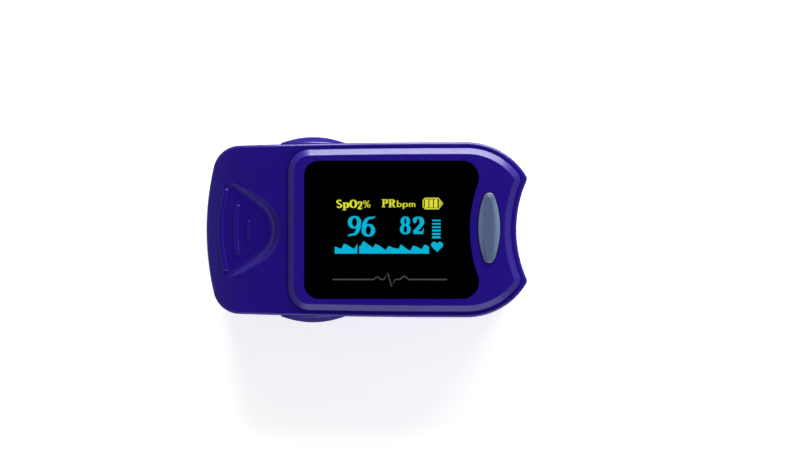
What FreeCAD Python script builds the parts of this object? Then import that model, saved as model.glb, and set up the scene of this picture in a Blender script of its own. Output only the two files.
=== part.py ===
"""Fingertip pulse oximeter: a sprung clip of two plastic halves on a floating hinge pin, with a small lit
display, one push button, two AAA cells behind a sliding door, and two soft pads that hold a fingertip.

The frame is in millimetres. +X points out of the finger mouth, +Z points up through the display and the
origin is at the middle of the flat underside. Every size comes from a cell of the sheet "Dims".
"""

import FreeCAD
import Part

import math
import os

import Sketcher
from FreeCAD import Placement, Rotation, Vector

OUT = "parts"

# Driving dimensions: alias, value in mm or degrees, what it is.
CELLS = [
    ("body_rear", 29.25, "rear end of the body, measured back from the origin"),
    ("body_front", 29.476, "where the side and the mouth curves would meet, before the corner is rounded"),
    ("mouth_dip", 2.09, "depth of the concave front edge behind that corner"),
    ("half_width", 15.95, "half the width of the body at its widest"),
    ("rear_half_width", 15.25, "half the width at the rear corners"),
    ("rear_corner_x", 26.95, "rear corners, measured back from the origin"),
    ("tip_half_width", 9.35, "half the distance between the front corners"),
    ("shoulder_x", 18.3, "where the straight sides turn into the shoulders"),
    ("rear_arc", 50.0, "radius of the rear end"),
    ("rear_round", 5.0, "rounding of the rear corners"),
    ("tip_round", 1.25, "rounding of the front corners"),
    ("top_z", 32.0, "top of the raised bezel"),
    ("ledge_z", 30.3, "ledge around the bezel"),
    ("rear_top_z", 27.0, "top of the rear edge"),
    ("slope_start", 14.6, "where the rear grip starts to fall, behind the origin"),
    ("upper_part_z", 17.2, "underside of the upper half"),
    ("lower_part_z", 16.8, "top of the lower half"),
    ("part_z", 17.0, "middle plane between the halves"),
    ("wall", 1.5, "shell wall"),
    ("skin", 1.6, "bottom wall of the lower shell"),
    ("rim_round", 0.55, "rounding of the upper rim"),
    ("belly_round", 1.2, "rounding of the bottom edge"),
    ("lip_bevel", 0.25, "bevel of the parting edges"),
    ("bezel_inset", 1.05, "ledge width beside the bezel"),
    ("bezel_rear", 14.15, "rear edge of the bezel, behind the origin"),
    ("bezel_corner", 4.0, "rear corners of the bezel"),
    ("bezel_chamfer", 1.15, "sloped edge of the bezel"),
    ("bezel_soft", 0.35, "rounding on both edges of that slope"),
    ("lens_rear", 11.1, "rear edge of the window, behind the origin"),
    ("lens_half_width", 12.45, "half the width of the window"),
    ("lens_front", 18.85, "middle of the concave front edge of the window"),
    ("lens_arc", 24.9, "radius of that edge"),
    ("lens_rear_round", 2.6, "rounding of the rear corners of the window"),
    ("lens_tip_round", 3.0, "rounding of the front corners of the window"),
    ("lens_thick", 1.0, "thickness of the window"),
    ("lens_low", 0.12, "how far the window lies below the bezel"),
    ("lens_gap", 0.1, "gap around the window"),
    ("display_x", 4.75, "centre of the lit area"),
    ("display_y", 0.3, "the same, across"),
    ("panel_length", 26.7, "display panel"),
    ("panel_width", 19.3, "display panel"),
    ("panel_thick", 1.4, "display panel"),
    ("panel_top_z", 29.3, "top of the display panel"),
    ("ceiling_z", 29.5, "ceiling under the bezel"),
    ("grip_ceiling_z", 25.8, "ceiling under the rear grip"),
    ("button_x", 22.35, "centre of the button"),
    ("button_y", 0.35, "the same, across"),
    ("button_half_width", 2.0, "half the width of the button"),
    ("button_straight", 5.7, "distance of its round ends from its middle"),
    ("button_gap", 0.15, "gap around the button"),
    ("button_top_z", 32.6, "top of the button"),
    ("pivot_x", 10.0, "hinge axis, behind the origin"),
    ("pivot_z", 18.0, "hinge axis"),
    ("pivot_float", 1.5, "how far the hinge pin can rise in its slots"),
    ("pin_radius", 1.0, "hinge pin"),
    ("pin_gap", 0.05, "running gap of the hinge pin"),
    ("pin_half_length", 16.0, "half the length of the hinge pin"),
    ("ear_radius", 6.1, "round ear on each side of the lower shell"),
    ("ear_inner_y", 14.2, "inner face of the ear"),
    ("ear_outer_y", 16.3, "edge of the ear's outer face"),
    ("ear_crown", 0.95, "crown of the ear's outer face"),
    ("notch_radius", 6.5, "notch in the upper shell around the ear"),
    ("wedge_x", 9.0, "where the halves start to part, behind the origin"),
    ("upper_wedge", 14.5, "slope of the upper half behind the hinge"),
    ("lower_wedge", 8.0, "slope of the lower half behind the hinge"),
    ("mouth_half", 9.2, "half the width of the finger mouth in the shells"),
    ("mouth_up", 6.4, "height of the mouth above the parting plane"),
    ("mouth_down", 3.6, "depth of the mouth below the parting plane"),
    ("pad_thick", 1.2, "soft pads"),
    ("pad_gap", 0.05, "gap between a pad and its frame"),
    ("stop_x", 4.0, "end of the finger channel, behind the origin"),
    ("frame_gap", 0.1, "gap between a frame and its shell"),
    ("lower_frame_base", 12.4, "underside of the lower frame"),
    ("lower_frame_top", 16.5, "top of the lower frame"),
    ("upper_frame_base", 17.5, "underside of the upper frame"),
    ("upper_frame_top", 24.4, "top of the upper frame"),
    ("cell_radius", 5.25, "AAA cell"),
    ("cell_length", 44.5, "AAA cell with its cap"),
    ("cell_y", 5.45, "distance of the cells from the middle"),
    ("cell_z", 6.85, "height of the cells"),
    ("bay_front", 23.6, "front wall of the battery bay"),
    ("bay_rear", 24.6, "rear wall of the battery bay, behind the origin"),
    ("bay_wall", 1.0, "thickness of those walls"),
    ("door_half_width", 12.25, "half the width of the battery door"),
    ("door_front", 23.3, "front edge of the battery door"),
    ("door_thick", 1.4, "battery door"),
    ("door_gap", 0.15, "gap around the battery door"),
    ("tongue", 0.7, "guide tongues on the door's sides"),
    ("screw_x", 18.0, "front screws"),
    ("screw_rear_x", 20.0, "rear screws, behind the origin"),
    ("screw_y", 12.4, "distance of the screws from the middle"),
    ("boss_radius", 1.5, "screw bosses"),
    ("screw_radius", 0.7, "screw shanks"),
    ("screw_head", 1.25, "radius of the screw heads"),
    ("sensor_x", 8.0, "light source and detector"),
    ("board_z", 25.0, "underside of the main board"),
    ("board_thick", 1.0, "main board"),
]


class Dim:
    """A number together with the sheet expression that gives it, so that sums of cells stay bound."""

    def __init__(self, value, text):
        self.value = float(value)
        self.text = text

    def __add__(self, other):
        return Dim(self.value + num(other), f"({self.text} + {text_of(other)})")

    def __sub__(self, other):
        return Dim(self.value - num(other), f"({self.text} - {text_of(other)})")

    def __mul__(self, other):
        return Dim(self.value * num(other), f"({self.text} * {text_of(other)})")

    def __truediv__(self, other):
        return Dim(self.value / num(other), f"({self.text} / {text_of(other)})")

    def __radd__(self, other):
        return as_dim(other) + self

    def __rsub__(self, other):
        return as_dim(other) - self

    def __rmul__(self, other):
        return as_dim(other) * self

    def __neg__(self):
        return Dim(-self.value, f"(0 - {self.text})")

    def root(self):
        return Dim(math.sqrt(self.value), f"sqrt({self.text})")

    def tangent(self):
        return Dim(math.tan(math.radians(self.value)), f"tan({self.text} * 1 deg)")


def as_dim(value):
    return value if isinstance(value, Dim) else Dim(value, f"({float(value)!r})")


def num(value):
    return value.value if isinstance(value, Dim) else float(value)


def text_of(value):
    return as_dim(value).text


doc = FreeCAD.newDocument("pulse_oximeter")
dims = doc.addObject("Spreadsheet::Sheet", "Dims")


class Sheet:
    """The cells of the sheet as Dims, read by alias."""


D = Sheet()
for row, (alias, value, note) in enumerate(CELLS, start=1):
    dims.set(f"A{row}", note)
    dims.set(f"B{row}", str(value))
    dims.setAlias(f"B{row}", alias)
    setattr(D, alias, Dim(value, f"Dims.{alias}"))
doc.recompute()
derived = doc.addObject("Spreadsheet::Sheet", "Derived")
derived_rows = 0


def derive(alias, size):
    """Keeps a worked-out size in the sheet "Derived" and gives it back under its short name."""
    global derived_rows
    derived_rows += 1
    derived.set(f"A{derived_rows}", "=" + size.text.replace("Derived.", ""))
    derived.setAlias(f"A{derived_rows}", alias)
    return Dim(size.value, f"Derived.{alias}")


# ---------------------------------------------------------------- document helpers


def bind(thing, **sizes):
    """Sets each property from a Dim, bound to the sheet. A double underscore in a name stands for a dot."""
    for name, size in sizes.items():
        thing.setExpression(name.replace("__", "."), text_of(size))


def new_body(label):
    body = doc.addObject("PartDesign::Body", label)
    body.Label = label
    return body


def new_sketch(body, plane="XY", at=0.0, shift=None, tilt=None):
    """A sketch on one of the body's origin planes, raised by at along its normal. With shift and tilt
    it is moved along X by shift and turned about Y by tilt degrees, so that its floor slopes."""
    support = next(f for f in body.Origin.OriginFeatures if f.Role == plane + "_Plane")
    sketch = body.newObject("Sketcher::SketchObject", "Sketch")
    sketch.AttachmentSupport = (support, [""])
    sketch.MapMode = "FlatFace"
    if tilt is not None:
        turn = Rotation(Vector(0, 1, 0), num(tilt))
        sketch.AttachmentOffset = Placement(Vector(num(shift), 0, num(at)), turn)
        bind(sketch, AttachmentOffset__Base__x=shift)
    bind(sketch, AttachmentOffset__Base__z=at)
    return sketch


def lock(sketch, kind, geometry, position, size):
    """Adds one dimension to a sketch and binds it to the sheet."""
    if position is None:
        index = sketch.addConstraint(Sketcher.Constraint(kind, geometry, num(size)))
    else:
        index = sketch.addConstraint(Sketcher.Constraint(kind, geometry, position, num(size)))
    sketch.setExpression(f"Constraints[{index}]", text_of(size))


def draw(sketch, corners):
    """Draws a closed outline, anticlockwise. A corner is (x, y) for a straight edge to the next corner, or
    (x, y, radius) for an arc: it bulges outwards if the radius is positive and inwards if it is negative."""
    edges = []
    for i, corner in enumerate(corners):
        after = corners[(i + 1) % len(corners)]
        start = Vector(num(corner[0]), num(corner[1]), 0)
        end = Vector(num(after[0]), num(after[1]), 0)
        if len(corner) == 2:
            index = sketch.addGeometry(Part.LineSegment(start, end), False)
            edges.append((index, 1, 2))
            continue
        radius = num(corner[2])
        chord = end - start
        side = Vector(-chord.y, chord.x, 0).normalize()
        reach = math.sqrt(max(radius**2 - (chord.Length / 2) ** 2, 0.0))
        centre = (start + end) * 0.5 + side * (reach if radius > 0 else -reach)
        first, last = (start, end) if radius > 0 else (end, start)
        begin = math.atan2(first.y - centre.y, first.x - centre.x)
        finish = math.atan2(last.y - centre.y, last.x - centre.x)
        circle = Part.Circle(centre, Vector(0, 0, 1), abs(radius))
        index = sketch.addGeometry(Part.ArcOfCircle(circle, begin, finish), False)
        edges.append((index, 1, 2) if radius > 0 else (index, 2, 1))
    for i, (index, begin, finish) in enumerate(edges):
        before = edges[i - 1]
        sketch.addConstraint(Sketcher.Constraint("Coincident", before[0], before[2], index, begin))
        lock(sketch, "DistanceX", index, begin, corners[i][0])
        lock(sketch, "DistanceY", index, begin, corners[i][1])
        if len(corners[i]) == 3:
            size = corners[i][2]
            lock(sketch, "Radius", index, None, size if num(size) > 0 else -as_dim(size))
    return sketch


def box_corners(x0, y0, x1, y1):
    return [(x0, y0), (x1, y0), (x1, y1), (x0, y1)]


def draw_circle(sketch, x, y, radius):
    circle = Part.Circle(Vector(num(x), num(y), 0), Vector(0, 0, 1), num(radius))
    index = sketch.addGeometry(circle, False)
    lock(sketch, "Radius", index, None, radius)
    lock(sketch, "DistanceX", index, 3, x)
    lock(sketch, "DistanceY", index, 3, y)
    return sketch


def volume(body):
    return body.Shape.Volume if body.Tip else 0.0


def extrude(body, kind, sketch, length, backwards=False, both=False, taper=0.0):
    """Pads or pockets a sketch and checks that the solid grew or shrank."""
    before = volume(body)
    feature = body.newObject("PartDesign::" + kind, kind)
    feature.Profile = sketch
    bind(feature, Length=length)
    feature.Reversed = backwards
    if both:
        feature.SideType = "Symmetric"
    if taper:
        feature.TaperAngle = taper
    doc.recompute()
    grew = body.Shape.Volume - before
    if (kind == "Pad") != (grew > 0) or abs(grew) < 1e-6:
        raise RuntimeError(f"{body.Label}: {kind} {feature.Name} changed the volume by {grew:.3f}")
    return feature


def pad(body, sketch, length, **options):
    return extrude(body, "Pad", sketch, length, **options)


def pocket(body, sketch, length, **options):
    return extrude(body, "Pocket", sketch, length, **options)


def edges_where(shape, test):
    """Names of the edges whose bounding box passes the test."""
    return [f"Edge{i}" for i, edge in enumerate(shape.Edges, start=1) if test(edge.BoundBox)]


def near(a, b, slack=0.02):
    return abs(a - num(b)) < slack


def soften(body, kind, size, test):
    """Rounds or bevels the edges of the body's tip whose bounding box passes the test."""
    base = body.Tip
    names = edges_where(base.Shape, test)
    if not names:
        raise RuntimeError(f"{body.Label}: no edge to soften")
    feature = body.newObject("PartDesign::" + kind, kind)
    feature.Base = (base, names)
    if kind == "Fillet":
        bind(feature, Radius=size)
    else:
        bind(feature, Size=size)
    doc.recompute()
    if feature.Shape.isNull() or not feature.Shape.isValid():
        raise RuntimeError(f"{body.Label}: {kind} of {num(size)} mm on {names} failed")
    return feature


def upright(box):
    return box.ZLength > 0.1 and box.XLength < 0.01 and box.YLength < 0.01


# ---------------------------------------------------------------- outline of the body


def tangent_arc(run, rise):
    """Radius of an arc that leaves a straight line smoothly and reaches rise away from it after run."""
    return (run * run + rise * rise) / (2.0 * rise)


def segment_arc(half_chord, height):
    """Radius of an arc with this half chord and height."""
    return (half_chord * half_chord + height * height) / (2.0 * height)


SIDE_ARC = derive("side_arc", tangent_arc(D.shoulder_x + D.rear_corner_x, D.half_width - D.rear_half_width))
SHOULDER_RUN = D.body_front - D.shoulder_x
SHOULDER_ARC = derive("shoulder_arc", tangent_arc(SHOULDER_RUN, D.half_width - D.tip_half_width))
MOUTH_ARC = derive("mouth_arc", segment_arc(D.tip_half_width, D.mouth_dip))
MOUTH_X = derive("mouth_x", D.body_front - D.mouth_dip + MOUTH_ARC)
SHOULDER_Y = derive("shoulder_y", D.half_width - SHOULDER_ARC)
outline_count = 0


def outline_corners(inset=0.0, rear=None):
    """The body's plan outline, moved inwards by inset all round. With rear, it ends in a straight rear edge
    that far behind the origin."""
    global outline_count
    outline_count += 1
    name = "outline" + "abcdefghijklmnopqrstuvwxyz"[outline_count - 1]
    side_radius = SHOULDER_ARC - inset
    tip_x, tip_y = meeting(name, MOUTH_X - D.shoulder_x, SHOULDER_Y, side_radius, MOUTH_ARC + inset)
    side_y = D.half_width - inset
    reach = SIDE_ARC - inset
    if rear is None:
        rear_radius = D.rear_arc - inset
        end_y = D.rear_half_width - inset
        flat = derive(name + "_rear", (rear_radius * rear_radius - end_y * end_y).root())
        end_x = D.rear_arc - D.body_rear - flat
        back = [(end_x, end_y, rear_radius)]
    else:
        end_x = -as_dim(rear)
        run = D.shoulder_x - end_x
        end_y = derive(name + "_end", side_y - reach + (reach * reach - run * run).root())
        back = [(end_x, end_y)]
    return [
        (end_x, -end_y, reach),
        (D.shoulder_x, -side_y, SHOULDER_ARC - inset),
        (tip_x, -tip_y, -(MOUTH_ARC + inset)),
        (tip_x, tip_y, SHOULDER_ARC - inset),
        (D.shoulder_x, side_y, reach),
    ] + back


def meeting(name, gap_x, side, side_radius, front_radius):
    """Where the shoulder circle, about (shoulder_x, side), meets the mouth circle, gap_x further along X and
    on the middle line, on the side of +Y."""
    gap2 = derive(name + "_gap", gap_x * gap_x + side * side)
    along = derive(
        name + "_along", (gap2 + side_radius * side_radius - front_radius * front_radius) / (2.0 * gap2)
    )
    off = derive(name + "_off", (side_radius * side_radius / gap2 - along * along).root())
    tip_x = derive(name + "_tip_x", D.shoulder_x + gap_x * along + side * off)
    tip_y = derive(name + "_tip_y", side - side * along + gap_x * off)
    return tip_x, tip_y


def mouth_corners(up, down, half):
    """The finger mouth in the YZ plane: an arch above the parting plane and a trough below it."""
    return [
        (-half, D.part_z, segment_arc(half, down)),
        (half, D.part_z, segment_arc(half, up)),
    ]


def wedge_cut(body, base_z, slope, up):
    """Cuts the sloping face behind the hinge. It falls away from the parting plane at slope degrees."""
    far = D.body_rear + 3.0
    drop = (far - D.wedge_x) * slope.tangent()
    level = base_z + drop if up else base_z - drop
    corners = [(-D.wedge_x, base_z), (-far, level), (-far, base_z)]
    if not up:
        corners = [(-D.wedge_x, base_z), (-far, base_z), (-far, level)]
    sketch = draw(new_sketch(body, "XZ"), corners if up else corners)
    return pocket(body, sketch, D.half_width * 3.0, both=True)


OUTLINES = {}


def outline(inset, rear=None):
    """The outline's corners, worked out once for each inset."""
    return OUTLINES[(round(num(inset), 3), None if rear is None else round(num(rear), 3))]


FRAME_IN = derive("frame_in", D.wall + D.frame_gap)
for inset, rear in (
    (0.0, None),
    (D.wall, None),
    (FRAME_IN, None),
    (D.bezel_inset, D.bezel_rear),
    (D.bezel_inset + D.wall, D.bezel_rear - D.wall + 0.05),
    (0.4, D.stop_x - 0.1),
):
    key = (round(num(inset), 3), None if rear is None else round(num(rear), 3))
    OUTLINES[key] = outline_corners(inset, rear)

SLOPE_RUN = derive("slope_run", D.body_rear - D.slope_start)
SLOPE_ARC = derive("slope_arc", tangent_arc(SLOPE_RUN, D.ledge_z - D.rear_top_z))
SLOPE_LOW = derive(
    "slope_low",
    D.ledge_z - SLOPE_ARC + (SLOPE_ARC * SLOPE_ARC - (SLOPE_RUN + 1.0) * (SLOPE_RUN + 1.0)).root(),
)
LENS_TIP = derive(
    "lens_tip",
    D.lens_front + D.lens_arc - (D.lens_arc * D.lens_arc - D.lens_half_width * D.lens_half_width).root(),
)
LENS_TIP_WIDE = derive("lens_tip_wide", LENS_TIP + D.lens_gap * 1.15)
LENS_TOP = derive("lens_top", D.top_z - D.lens_low)
GLUE_Z = derive("glue_z", LENS_TOP - D.lens_thick - 0.15)
NOTCH_Y = derive("notch_y", D.ear_inner_y - 0.3)
WALL_TOP = derive("wall_top", D.lower_frame_base - 0.1)
BAY_Y = derive("bay_y", D.door_half_width + D.door_gap)
GROOVE_LOW = derive("groove_low", D.door_thick / 2.0 - 0.15)
GROOVE_HIGH = derive("groove_high", D.door_thick / 2.0 + 0.5)
SLOT_R = derive("slot_r", D.pin_radius + D.pin_gap)
SLOT_TOP = derive("slot_top", D.pivot_z + D.pivot_float)
PLUS_X = derive("plus_x", D.bay_front - 0.4)
REAR_X = derive("rear_x", 0.4 - D.bay_rear)
PIVOT = -D.pivot_x
doc.recompute()


# ---------------------------------------------------------------- building blocks


def prism(label, inset, base_z, height, rear=None, rear_round=None, tip_round=None):
    """A body that stands straight up on the outline, with its upright corners rounded."""
    body = new_body(label)
    sketch = draw(new_sketch(body, "XY", base_z), outline(inset, rear))
    pad(body, sketch, height)
    if rear_round is not None:
        soften(body, "Fillet", rear_round, lambda b: upright(b) and b.XMin < 0)
    if tip_round is not None:
        soften(body, "Fillet", tip_round, lambda b: upright(b) and b.XMin > 22)
    return body


def join(body, tool, kind):
    """Adds, takes away or keeps the part shared with another body."""
    before = body.Shape.Volume
    feature = body.newObject("PartDesign::Boolean", kind)
    feature.setObjects([tool])
    feature.Type = kind
    doc.recompute()
    body.Tip = feature
    doc.recompute()
    if not feature.Shape.isValid() or abs(body.Shape.Volume - before) < 1e-6:
        raise RuntimeError(f"{body.Label}: {kind} with {tool.Label} did nothing")
    return feature


def plate(label, x0, x1, y0, y1, z0, z1):
    """A rectangular block between the given faces."""
    body = new_body(label)
    pad(body, draw(new_sketch(body, "XY", z0), box_corners(x0, y0, x1, y1)), as_dim(z1) - z0)
    return body


def disc(label, x, y, z, radius, height):
    body = new_body(label)
    pad(body, draw_circle(new_sketch(body, "XY", z), x, y, radius), height)
    return body


def cut_box(body, x0, x1, y0, y1, z0, z1):
    """Takes a rectangular block out of a body."""
    sketch = draw(new_sketch(body, "XY", z0), box_corners(x0, y0, x1, y1))
    return pocket(body, sketch, as_dim(z1) - z0, backwards=True)


def add_box(body, x0, x1, y0, y1, z0, z1):
    sketch = draw(new_sketch(body, "XY", z0), box_corners(x0, y0, x1, y1))
    return pad(body, sketch, as_dim(z1) - z0)


def span(side, low, high):
    """The distances low and high from the middle plane, as coordinates on one side, the smaller first."""
    return (low, high) if side > 0 else (-high, -low)


def cut_hole(body, x, y, z0, radius, depth):
    """Drills upwards from z0."""
    return pocket(body, draw_circle(new_sketch(body, "XY", z0), x, y, radius), depth, backwards=True)


def across(body, y, corners_or_circle, length, kind="Pocket"):
    """Adds or cuts a shape drawn in the XZ plane, from y outwards, on the side that y is on."""
    sketch = new_sketch(body, "XZ", -as_dim(y))
    if isinstance(corners_or_circle, tuple):
        draw_circle(sketch, *corners_or_circle)
    else:
        draw(sketch, corners_or_circle)
    positive = num(y) > 0
    if kind == "Pocket":
        return pocket(body, sketch, length, backwards=not positive)
    return pad(body, sketch, length, backwards=positive)


def cut_mouth(body, rear_x, up, down, half):
    """Cuts the finger channel from rear_x out through the front."""
    sketch = draw(new_sketch(body, "YZ", rear_x), mouth_corners(up, down, half))
    return pocket(body, sketch, D.body_rear * 2.0, backwards=True)


def upright_slot(x, z0, z1, radius):
    """A slot that a pin of this radius can rise in from z0 to z1, as corners in the XZ plane."""
    return box_corners(x - radius, as_dim(z0) - radius, x + radius, z1 + radius)


def turned(label, y, z, profile, x=0.0):
    """Turns a profile about an axis along X at the given y and z."""
    body = new_body(label)
    sketch = new_sketch(body, "XY", z)
    bind(sketch, AttachmentOffset__Base__x=x, AttachmentOffset__Base__y=y)
    draw(sketch, profile)
    feature = body.newObject("PartDesign::Revolution", "Revolution")
    feature.Profile = sketch
    feature.ReferenceAxis = (sketch, ["H_Axis"])
    feature.Angle = 360.0
    doc.recompute()
    return body


def screw(label, x, y, top_z, length, head_radius=None, shank=None):
    """A pan-head screw that points down from top_z, with a cross recess."""
    head_radius = D.screw_head if head_radius is None else head_radius
    shank = D.screw_radius if shank is None else shank
    body = new_body(label)
    pad(body, draw_circle(new_sketch(body, "XY", top_z - length), x, y, shank), length - 0.3)
    pad(body, draw_circle(new_sketch(body, "XY", top_z - 0.7), x, y, head_radius), 0.7)
    soften(body, "Fillet", 0.25, lambda b: near(b.ZMin, top_z) and near(b.ZMax, top_z))
    arm = head_radius * 0.62
    cut_box(body, x - arm, x + arm, y - 0.16, y + 0.16, top_z - 0.4, top_z + 0.1)
    cut_box(body, x - 0.16, x + 0.16, y - arm, y + arm, top_z - 0.4, top_z + 0.1)
    return body


def screw_up(label, x, y, low_z, length):
    """The same screw with its head at the bottom."""
    body = new_body(label)
    pad(body, draw_circle(new_sketch(body, "XY", low_z + 0.3), x, y, D.screw_radius), length - 0.3)
    pad(body, draw_circle(new_sketch(body, "XY", low_z), x, y, D.screw_head), 0.7)
    soften(body, "Fillet", 0.25, lambda b: near(b.ZMin, low_z) and near(b.ZMax, low_z))
    arm = D.screw_head * 0.62
    cut_box(body, x - arm, x + arm, y - 0.16, y + 0.16, as_dim(low_z) - 0.1, as_dim(low_z) + 0.4)
    cut_box(body, x - 0.16, x + 0.16, y - arm, y + arm, as_dim(low_z) - 0.1, as_dim(low_z) + 0.4)
    return body


# ---------------------------------------------------------------- upper shell

def rear_slope(body):
    """Rounds the top down towards the rear, for the thumb."""
    high = D.ledge_z + 5.0
    far = -D.slope_start - SLOPE_RUN - 1.0
    start = -D.slope_start
    corners = [(start, D.ledge_z), (start, high), (far, high), (far, SLOPE_LOW, -SLOPE_ARC)]
    return pocket(body, draw(new_sketch(body, "XZ"), corners), D.half_width * 3.0, both=True)


UPPER_HIGH = D.ledge_z - D.upper_part_z
upper_shell = prism("upper_shell", 0.0, D.upper_part_z, UPPER_HIGH, None, D.rear_round, D.tip_round)
rear_slope(upper_shell)
soften(
    upper_shell,
    "Fillet",
    D.rim_round,
    lambda b: b.ZMin > 26 and not (b.XLength < 0.01 and near(b.XMin, -D.slope_start)),
)
wedge_cut(upper_shell, D.upper_part_z, D.upper_wedge, True)
soften(
    upper_shell,
    "Chamfer",
    D.lip_bevel,
    lambda b: b.ZMax < 23.2 and not upright(b) and not (b.XLength < 0.01 and b.YLength > 20),
)

# The raised bezel, with its sloped and softened edge.
bezel = prism(
    "bezel_block",
    D.bezel_inset,
    D.ledge_z - 0.5,
    D.top_z - D.ledge_z + 0.5,
    D.bezel_rear,
    D.bezel_corner,
    D.tip_round * 1.5,
)
soften(bezel, "Chamfer", D.bezel_chamfer, lambda b: b.ZMin > num(D.top_z) - 0.01)
soften(bezel, "Fillet", D.bezel_soft, lambda b: near(b.ZMin, D.top_z) and near(b.ZMax, D.top_z))
soften(
    bezel,
    "Fillet",
    D.bezel_soft,
    lambda b: near(b.ZMin, D.top_z - D.bezel_chamfer) and near(b.ZMax, D.top_z - D.bezel_chamfer),
)
join(upper_shell, bezel, "Fuse")

# Inside: low under the grip, high under the bezel.
hollow_low = D.upper_part_z - 2.0
hollow_high = D.grip_ceiling_z - hollow_low
hollow = prism("hollow_block", D.wall, hollow_low, hollow_high, None, D.rear_round - D.wall, 0.6)
join(upper_shell, hollow, "Cut")
loft_space = prism(
    "high_hollow",
    D.bezel_inset + D.wall,
    D.upper_part_z,
    D.ceiling_z - D.upper_part_z,
    D.bezel_rear - D.wall + 0.05,
    1.2,
    0.5,
)
join(upper_shell, loft_space, "Cut")


def lens_corners(gap):
    """The window's outline: a straight rear edge, straight sides and a concave front edge."""
    half = D.lens_half_width + gap
    arc = D.lens_arc - gap
    tip = LENS_TIP_WIDE if gap else LENS_TIP
    return [(-D.lens_rear - gap, -half), (tip, -half, -arc), (tip, half), (-D.lens_rear - gap, half)]


def lens_block(label, gap, base_z, height):
    body = new_body(label)
    pad(body, draw(new_sketch(body, "XY", base_z), lens_corners(gap)), height)
    soften(body, "Fillet", D.lens_rear_round + gap, lambda b: upright(b) and b.XMin < 0)
    soften(body, "Fillet", D.lens_tip_round + gap, lambda b: upright(b) and b.XMin > 15)
    return body


join(upper_shell, lens_block("window_recess", D.lens_gap, GLUE_Z, 3.0), "Cut")
VIEW = (D.display_x - 12.0, D.display_x + 12.0, D.display_y - 6.8, D.display_y + 6.8)
cut_box(upper_shell, *VIEW, D.ceiling_z - 1.0, GLUE_Z + 0.5)


def button_corners(gap):
    """The barrel-shaped button, long across the body: two long arcs, with a round end that meets both
    smoothly."""
    lean = math.radians(20.0)
    side = D.button_straight / math.sin(lean)
    end_half = D.button_half_width - D.button_straight * math.tan(lean / 2.0)
    end_radius = end_half / math.cos(lean)
    half = end_half + gap * math.cos(lean)
    straight = D.button_straight + gap * math.sin(lean)
    x = D.button_x
    y = D.button_y
    return [
        (x + half, y - straight, side + gap),
        (x + half, y + straight, end_radius + gap),
        (x - half, y + straight, side + gap),
        (x - half, y - straight, end_radius + gap),
    ]


sketch = draw(new_sketch(upper_shell, "XY", D.ceiling_z - 1.0), button_corners(D.button_gap))
pocket(upper_shell, sketch, 5.0, backwards=True)
# The thumb rest: a dish that fades out towards the rear, with three raised ribs. Its nose is round, and its
# sides are long arcs that leave the nose smoothly. The floor is level, and then follows the grip's slope.
DISH_NOSE_X = -22.65
DISH_NOSE = 7.0
DISH_SIDE = 60.0
DISH_FAR = 34.0
DISH_BASE_Z = 27.0
DISH_FLOOR_Z = 28.6
DISH_WALL = 42.0


def dish_corners(inset):
    """The dish's plan outline, moved inwards by inset."""
    turn = math.radians(50.0)
    nose = DISH_NOSE - inset
    side = DISH_SIDE - inset
    nose_x = DISH_NOSE_X + nose * math.cos(turn)
    nose_y = nose * math.sin(turn)
    side_x = DISH_NOSE_X - (DISH_SIDE - DISH_NOSE) * math.cos(turn)
    side_y = (DISH_SIDE - DISH_NOSE) * math.sin(turn)
    far_y = math.sqrt(side**2 - (DISH_FAR + side_x) ** 2) - side_y
    return [(-DISH_FAR, -far_y, side), (nose_x, -nose_y, nose), (nose_x, nose_y, side), (-DISH_FAR, far_y)]


dish = new_body("dish_block")
spread = math.tan(math.radians(DISH_WALL))
dish_inset = (30.2 - DISH_BASE_Z) * spread
pad(dish, draw(new_sketch(dish, "XY", DISH_BASE_Z), dish_corners(dish_inset)), 5.0, taper=DISH_WALL)
under = [
    (-38.0, 20.0),
    (-8.0, 20.0),
    (-8.0, DISH_FLOOR_Z),
    (-23.0, DISH_FLOOR_Z, 12.6),
    (-27.5, DISH_FLOOR_Z - 0.66),
    (-38.0, DISH_FLOOR_Z - 3.9),
]
pocket(dish, draw(new_sketch(dish, "XZ"), under), 60.0, both=True)
soften(
    dish,
    "Fillet",
    1.5,
    lambda b: b.ZMax < DISH_FLOOR_Z + 0.05 and b.XMin > -28.5 and b.XLength > 0.5,
)
join(upper_shell, dish, "Cut")


def rib(label, middle, end, half_length, half_width, floor_z, tilt):
    """A raised rib across the dish, bowed towards the rear, with a rounded top."""
    bow = segment_arc(half_length, as_dim(end) - middle).value
    body = new_body(label)
    # the sketch is parallel to the dish's floor under the rib
    drawing = new_sketch(body, "XY", floor_z - 0.5, middle, tilt)
    tip = end - middle
    corners = [
        (tip + half_width, -half_length, -bow),
        (tip + half_width, half_length, half_width * 1.08),
        (tip - half_width, half_length, bow),
        (tip - half_width, -half_length, half_width * 1.08),
    ]
    pad(body, draw(drawing, corners), 0.92)
    soften(body, "Fillet", half_width * 0.62, lambda b: b.ZMin > floor_z - 0.05)
    return body


join(upper_shell, rib("rib_rear", -26.5, -25.45, 7.15, 0.58, 28.15, -11.0), "Fuse")
join(upper_shell, rib("rib_middle", -23.75, -23.35, 4.3, 0.47, DISH_FLOOR_Z, 0.0), "Fuse")
join(upper_shell, rib("rib_front", -21.6, -21.42, 1.5, 0.36, DISH_FLOOR_Z, 0.0), "Fuse")

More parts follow.
